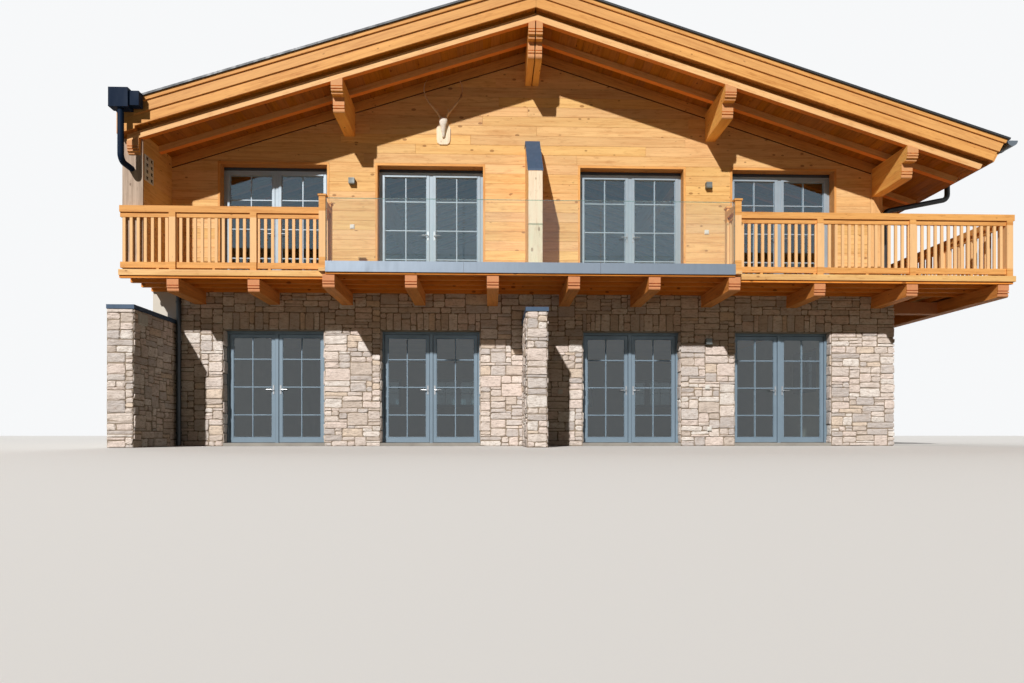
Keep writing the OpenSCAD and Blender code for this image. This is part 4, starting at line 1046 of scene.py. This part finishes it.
def glaze(face, u0, v0, u1, v1, glass_h, columns, heights):
    """Bars on both faces of a pane whose outer face lies at glass_h, and beads round it outside.

    heights are those of the level bars.
    """
    inner_h = glass_h - GLASS_T
    for near, far, chamfer in ((glass_h - 0.001, glass_h + 0.013, 0.004),
                               (inner_h - 0.012, inner_h + 0.001, 0.001)):
        for k in range(1, columns):
            u = u0 + (u1 - u0) * k / columns
            face.board(u - BAR_HALF, v0, u + BAR_HALF, v1, near, far, chamfer)
        for v in heights:
            face.board(u0, v - BAR_HALF, u1, v + BAR_HALF, near, far - 0.0005, chamfer)
    for left, low, right, high in (
            (u0, v0, u0 + BEAD, v1), (u1 - BEAD, v0, u1, v1),
            (u0 + BEAD, v0, u1 - BEAD, v0 + BEAD), (u0 + BEAD, v1 - BEAD, u1 - BEAD, v1)):
        face.board(left, low, right, high, glass_h - 0.001, glass_h + BEAD, 0.003)


def quarters(low, high):
    """Heights of three bars that part a pane into four."""
    return [low + (high - low) * k / 4 for k in (1, 2, 3)]


def lever_handle(solids, x, y, z, towards):
    """Plate, neck and lever on the outer face at y; towards is the lever's direction along X."""
    solids.box((x - 0.015, y - 0.008, z - 0.09), (x + 0.015, y + 0.002, z + 0.09), 0.004)
    solids.tube([Vector((x, y - 0.004, z)), Vector((x, y - 0.045, z))], [0.009, 0.009])
    lever = [Vector((x, y - 0.045, z)), Vector((x + towards * 0.03, y - 0.05, z)),
             Vector((x + towards * 0.125, y - 0.048, z))]
    solids.tube(lever, [0.0095, 0.0095, 0.0075])


def door_leaves():
    """Bars and beads of the panes, and a lever beside the fixed post, on every leaf."""
    for i in LEAVES:
        low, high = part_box(f"leaf_glass_{i}")
        frame_low, frame_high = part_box(f"leaf_frame_{i}")
        bars, handle = Solids(), Solids()
        glaze(bars.face(Y * frame_low.y, X, Z), low.x, low.z, high.x, high.z, frame_low.y - low.y, 2,
              quarters(FLOOR_Z, DOOR_HEAD))
        bars.make(f"leaf_bars_{i}", frame_paint, "grey_frame", f"leaf_{i}")
        if i % 2:
            lever_handle(handle, frame_high.x - STILE_W / 2, frame_low.y, 1.08, -1)
        else:
            lever_handle(handle, frame_low.x + STILE_W / 2, frame_low.y, 1.08, 1)
        handle.make(f"leaf_handle_{i}", steel, "grey_metal", f"leaf_{i}")


def window(face, width, height, columns, bar_vs):
    """Raised sashes with bars and beads on a window drawn from the lower left corner of its frame."""
    sash_w = (width - 2 * FRAME_W - MULLION_W) / 2
    v0, v1 = FRAME_W + WINDOW_RAIL_H, height - FRAME_W - WINDOW_RAIL_H
    foot, head = FRAME_W + 0.003, height - FRAME_W - 0.003
    for left in (FRAME_W, FRAME_W + sash_w + MULLION_W):
        right = left + sash_w
        u0, u1 = left + STILE_W, right - STILE_W
        glaze(face, u0, v0, u1, v1, (GLASS_T - FRAME_T) / 2, columns, bar_vs)
        for a, low, b, high in ((left + 0.003, foot, u0, head), (u1, foot, right - 0.003, head),
                                (u0 + 0.001, foot, u1 - 0.001, v0), (u0 + 0.001, v1, u1 - 0.001, head)):
            face.board(a, low, b, high, -0.002, SASH_PROUD, 0.004)


def window_details():
    """Sash edges, glazing bars and beads of every window, and levers on the tall ones."""
    bars, levers = Solids(), Solids()
    front_h = WINDOW_TOP - STOREY_Z
    ground_h, upper_h = DOOR_HEAD - GROUND_SILL, UPPER_WINDOW_TOP - UPPER_SILL
    for centre in OPENING_XS:
        corner = Vector((centre - WINDOW_W / 2, FRAME_Y, STOREY_Z))
        window(bars.face(corner, X, Z), WINDOW_W, front_h, 2, quarters(0.04, front_h))
        for towards in (-1, 1):
            lever_handle(levers, centre + towards * 0.06, FRAME_Y - SASH_PROUD, STOREY_Z + 1.05, towards)
        for sill, inward, height in ((GROUND_SILL, REVEAL, ground_h), (UPPER_SILL, REVEAL / 2, upper_h)):
            corner = Vector((centre + OPENING_W / 2, BACK_Y - inward, sill))
            window(bars.face(corner, -X, Z), OPENING_W, height, 2, [height / 2])
    for centre in SIDE_WINDOW_YS:
        for sill, wall_x, height in ((GROUND_SILL, HALF_W, ground_h), (UPPER_SILL, TIMBER_X, upper_h)):
            corner = Vector((wall_x - REVEAL / 2, centre - SIDE_WINDOW_W / 2, sill))
            window(bars.face(corner, Y, Z), SIDE_WINDOW_W, height, 1, [height / 2])
    bars.make("window_bars", window_paint, "grey_frame")
    levers.make("window_levers", steel, "grey_metal")


# Small fittings

def sockets_and_lamps():
    plates, rims = Solids(), Solids()
    wall = plates.face(Y * FRONT_Y, X, Z)
    for x, z, proud in ((-3.405, 4.16, BOARD_PROUD), (3.38, 4.12, BOARD_PROUD), (0.55, 1.04, STONE_PROUD),
                        (3.39, 1.13, STONE_PROUD), (3.43, 0.33, STONE_PROUD)):
        for half, low, high in ((0.042, 0, proud + 0.014), (0.03, proud, proud + 0.022)):
            wall.board(x - half, z - half, x + half, z + half, low, high, 0.004)
    plates.make("socket_plates", white_plastic, "render")
    for x, z in ((-3.405, 4.95), (3.405, 4.95), (3.405, 1.95)):
        for level in (z + 0.018, z + 0.084):
            rims.box((x - 0.058, FRONT_Y - 0.114, level - 0.004), (x + 0.058, FRONT_Y, level + 0.004), 0.001)
    rims.make("lamp_rims", lamp_metal, "grey_metal")


def trophy():
    """A hunting trophy high on the gable: a pale shield, a skull and two antlers."""
    shield, skull, antlers = Solids(), Solids(), Solids()
    wall = shield.face(Vector((-1.68, FRONT_Y - BOARD_PROUD, 0)), X, Z)
    right = [(0.07, 5.73), (0.115, 5.765), (0.13, 5.83), (0.135, 6.04), (0.09, 6.13), (0.05, 6.2)]
    left = [(-u, v) for u, v in reversed(right)]
    wall.slab(left[3:] + right + left[:3], BOARD_BACK, 0.026, 0.008)
    shield.make("trophy_shield", natural_wood, "pale_larch")
    levels = [(5.85, 0.016, 0.012), (5.88, 0.028, 0.022), (5.97, 0.038, 0.034), (6.06, 0.056, 0.046),
              (6.13, 0.078, 0.054), (6.18, 0.080, 0.052), (6.22, 0.062, 0.036), (6.245, 0.02, 0.012)]
    skull.loft([[
        wall.place(half * cos(a), z, 0.026 + depth * (1 + sin(a)))
        for a in (tau * k / 16 for k in range(16))] for z, half, depth in levels])
    skull.make("trophy_skull", bone, "render", smooth=True)
    beam = [(0.045, 6.20, 0.07), (0.09, 6.28, 0.09), (0.16, 6.355, 0.12), (0.26, 6.47, 0.13),
            (0.335, 6.60, 0.12), (0.365, 6.73, 0.10), (0.35, 6.84, 0.09), (0.31, 6.92, 0.08)]
    tine = [(0.07, 6.25, 0.09), (0.10, 6.28, 0.14), (0.095, 6.34, 0.18)]
    for side in (-1, 1):
        for points, width in ((beam, 0.025), (tine, 0.016)):
            taper = [width * (1 - 0.75 * k / (len(points) - 1)) for k in range(len(points))]
            antlers.tube([wall.place(side * u, v, h) for u, v, h in points], taper, 8)
    antlers.make("trophy_antlers", antler, "soffit_wood", smooth=True)


def ring(face, u, v, radius, thick, height, sides=24):
    """A flat ring on a plane."""
    verts, faces = face.solids.verts, face.solids.faces
    start = len(verts)
    section = [(radius - thick, 0.01), (radius - thick, height), (radius, height + 0.004),
               (radius + thick, height), (radius + thick, 0.01)]
    count = len(section)
    for k in range(sides):
        a = tau * k / sides
        verts.extend(face.place(u + r * cos(a), v + r * sin(a), h) for r, h in section)
    for k in range(sides):
        this, following = start + k * count, start + (k + 1) % sides * count
        for i in range(count):
            n = (i + 1) % count
            faces.append((this + i, this + n, following + n, following + i))


def fretwork_panel():
    """A small pale openwork board on the inner face of the timber wing wall. Its openings are dark rings laid
    on the board, painted shade for the dark behind the holes.
    """
    board, gaps = Solids(), Solids()
    origin = Vector((WING_IN + BOARD_PROUD, 0, 0))
    front, behind = board.face(origin, Y, Z), gaps.face(origin, Y, Z)
    y0, y1, z0, z1 = -6.83, -6.52, 4.63, 5.08
    front.board(y0, z0, y1, z1, -0.002, 0.012, 0.004)
    for column in range(2):
        for row in range(4):
            u, v = y0 + (y1 - y0) / 2 * (column + 0.5), z0 + (z1 - z0) / 4 * (row + 0.5)
            ring(front, u, v, 0.047, 0.006, 0.016)
            # The dark rings are painted shade: they stand for the openings of the fretwork.
            ring(behind, u, v, 0.014, 0.012, 0.0125)
            for turn in range(4):
                a = pi / 4 + turn * pi / 2
                ring(behind, u + 0.031 * cos(a), v + 0.031 * sin(a), 0.006, 0.005, 0.0125, 10)
    board.make("fretwork_board", white_plastic, "render", smooth=True)
    gaps.make("fretwork_gaps", dark_metal, "dark_metal")


def wall_vent():
    """A pale louvred vent high on the inner face of the left stone screen."""
    vent = Solids()
    face = vent.face(Vector((PARTY_IN + STONE_PROUD, 0, 0)), Y, Z)
    y0, y1, z0, z1 = -7.22, -6.95, 2.07, 2.26
    face.board(y0, z0, y1, z1, -0.02, 0.008, 0.003)
    for k in range(6):
        u = y0 + 0.02 + k * (y1 - y0 - 0.04) / 5
        face.board(u - 0.011, z0 + 0.012, u + 0.011, z1 - 0.012, 0.006, 0.026, 0.006)
    vent.make("wall_vent", white_plastic, "render")


def pipe_rings(solids, x, y, radius, heights):
    """Clips round an upright pipe."""
    for z in heights:
        solids.pipe(x, y, z - 0.018, z + 0.018, radius)


def pipes_and_straps():
    """The pipe in the left corner of the front, clips of the right downpipe and straps of the gutter."""
    corner, clips = Solids(), Solids()
    x, y = PARTY_IN + 0.085, FRONT_Y - 0.085
    corner.pipe(x, y, 0.01, DECK_UNDER - 0.07, 0.045)
    pipe_rings(corner, x, y, 0.051, (0.25, 1.1, 1.95, 2.7))
    corner.make("corner_pipe", dark_metal, "dark_metal")
    low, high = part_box("right_downpipe")
    radius = (high.y - low.y) / 2
    pipe_rings(clips, low.x + radius, (low.y + high.y) / 2, radius + 0.005, (0.4, 1.3, 2.2))
    low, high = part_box("eaves_gutter")
    centre_x, reach = (low.x + high.x) / 2, (high.x - low.x) / 2
    outer = [(reach + 0.004, pi + pi * s / 12) for s in range(13)]
    inner = [(reach - 0.001, a) for _, a in reversed(outer)]
    half = [(centre_x + r * cos(a), high.z - 0.002 + r * sin(a)) for r, a in outer + inner]
    last = 16
    for k in range(last + 1):
        y = low.y + 0.3 + (high.y - low.y - 0.6) * k / last
        clips.loft([[Vector((x, end, z)) for x, z in half] for end in (y + 0.014, y - 0.014)])
    clips.make("gutter_straps", dark_metal, "dark_metal")


for build in (
        stone_walls, stone_screens, window_sills, timber_front, timber_sides, wing_and_divider,
        soffit_boarding, wall_top_boards, deck_boards, railing_blocks, glass_edges, tiled_roof,
        verge_flashing, door_leaves, window_details, sockets_and_lamps, trophy, fretwork_panel,
        wall_vent, pipes_and_straps):
    build()


# Floor, light and camera

def seen_directly(nodes):
    """1 for what the camera sees, also in metal and through glass, and 0 for light on the house."""
    path = nodes.node("ShaderNodeLightPath").outputs
    mirrored = nodes.math("MAXIMUM", path["Is Glossy Ray"], path["Is Transmission Ray"])
    return nodes.math("MAXIMUM", path["Is Camera Ray"], mirrored)


def lay_floor():
    """A pale floor that throws less light back up at the house than it shows."""
    mesh = bpy.data.meshes.new("floor")
    reach = 150
    mesh.from_pydata([(x, y, -0.002) for x, y in rectangle(-reach, -reach, reach, reach)], [], [(0, 1, 2, 3)])
    shader = Shader("floor")
    colour = shader.mix(seen_directly(shader), (0.106, 0.079, 0.036, 1), (0.80, 0.80, 0.79, 1))
    shader.set(Base_Color=colour, Roughness=0.9)
    mesh.materials.append(shader.material)
    floor = linked("floor", mesh)


def add_sun(name, strength, angle, azimuth, elevation, colour):
    """A sun that shines from the front for azimuth 0 and from the left for azimuth 90."""
    data = bpy.data.lights.new(name, "SUN")
    data.energy = strength
    data.angle = radians(angle)
    data.color = colour
    az, el = radians(azimuth), radians(elevation)
    towards = Vector((sin(az) * cos(el), cos(az) * cos(el), -sin(el)))
    linked(name, data).rotation_euler = towards.to_track_quat("-Z", "Y").to_euler()


def light_scene():
    world = bpy.data.worlds.new("studio")
    scene.world = world
    world.use_nodes = True
    nodes = Nodes(world.node_tree)
    colour = nodes.mix(seen_directly(nodes), (0.045, 0.044, 0.042, 1), (0.93, 0.94, 0.95, 1))
    nodes.feed(nodes.tree.nodes["Background"].inputs["Color"], colour)
    add_sun("key", 3.76, 1.2, azimuth=20, elevation=30.7, colour=(1.0, 0.95, 0.9))
    add_sun("fill", 0.9, 40, azimuth=160, elevation=45, colour=(1, 1, 1))


def place_camera():
    """The camera of the photograph, low before the house; its lens and shift are given in pixels."""
    width, focal_length, shift, sensor = 1024, 680, 93.5, 36
    data = bpy.data.cameras.new("camera")
    data.sensor_width = sensor
    data.lens = focal_length / width * sensor
    data.shift_y = shift / width
    data.clip_end = 500
    camera = linked("camera", data)
    camera.location = (-0.80, FRONT_Y - 13.0, 0.21)
    camera.rotation_euler = (radians(90), 0, radians(-1.87))
    scene.camera = camera


lay_floor()
light_scene()
place_camera()
scene.view_settings.view_transform = "Standard"
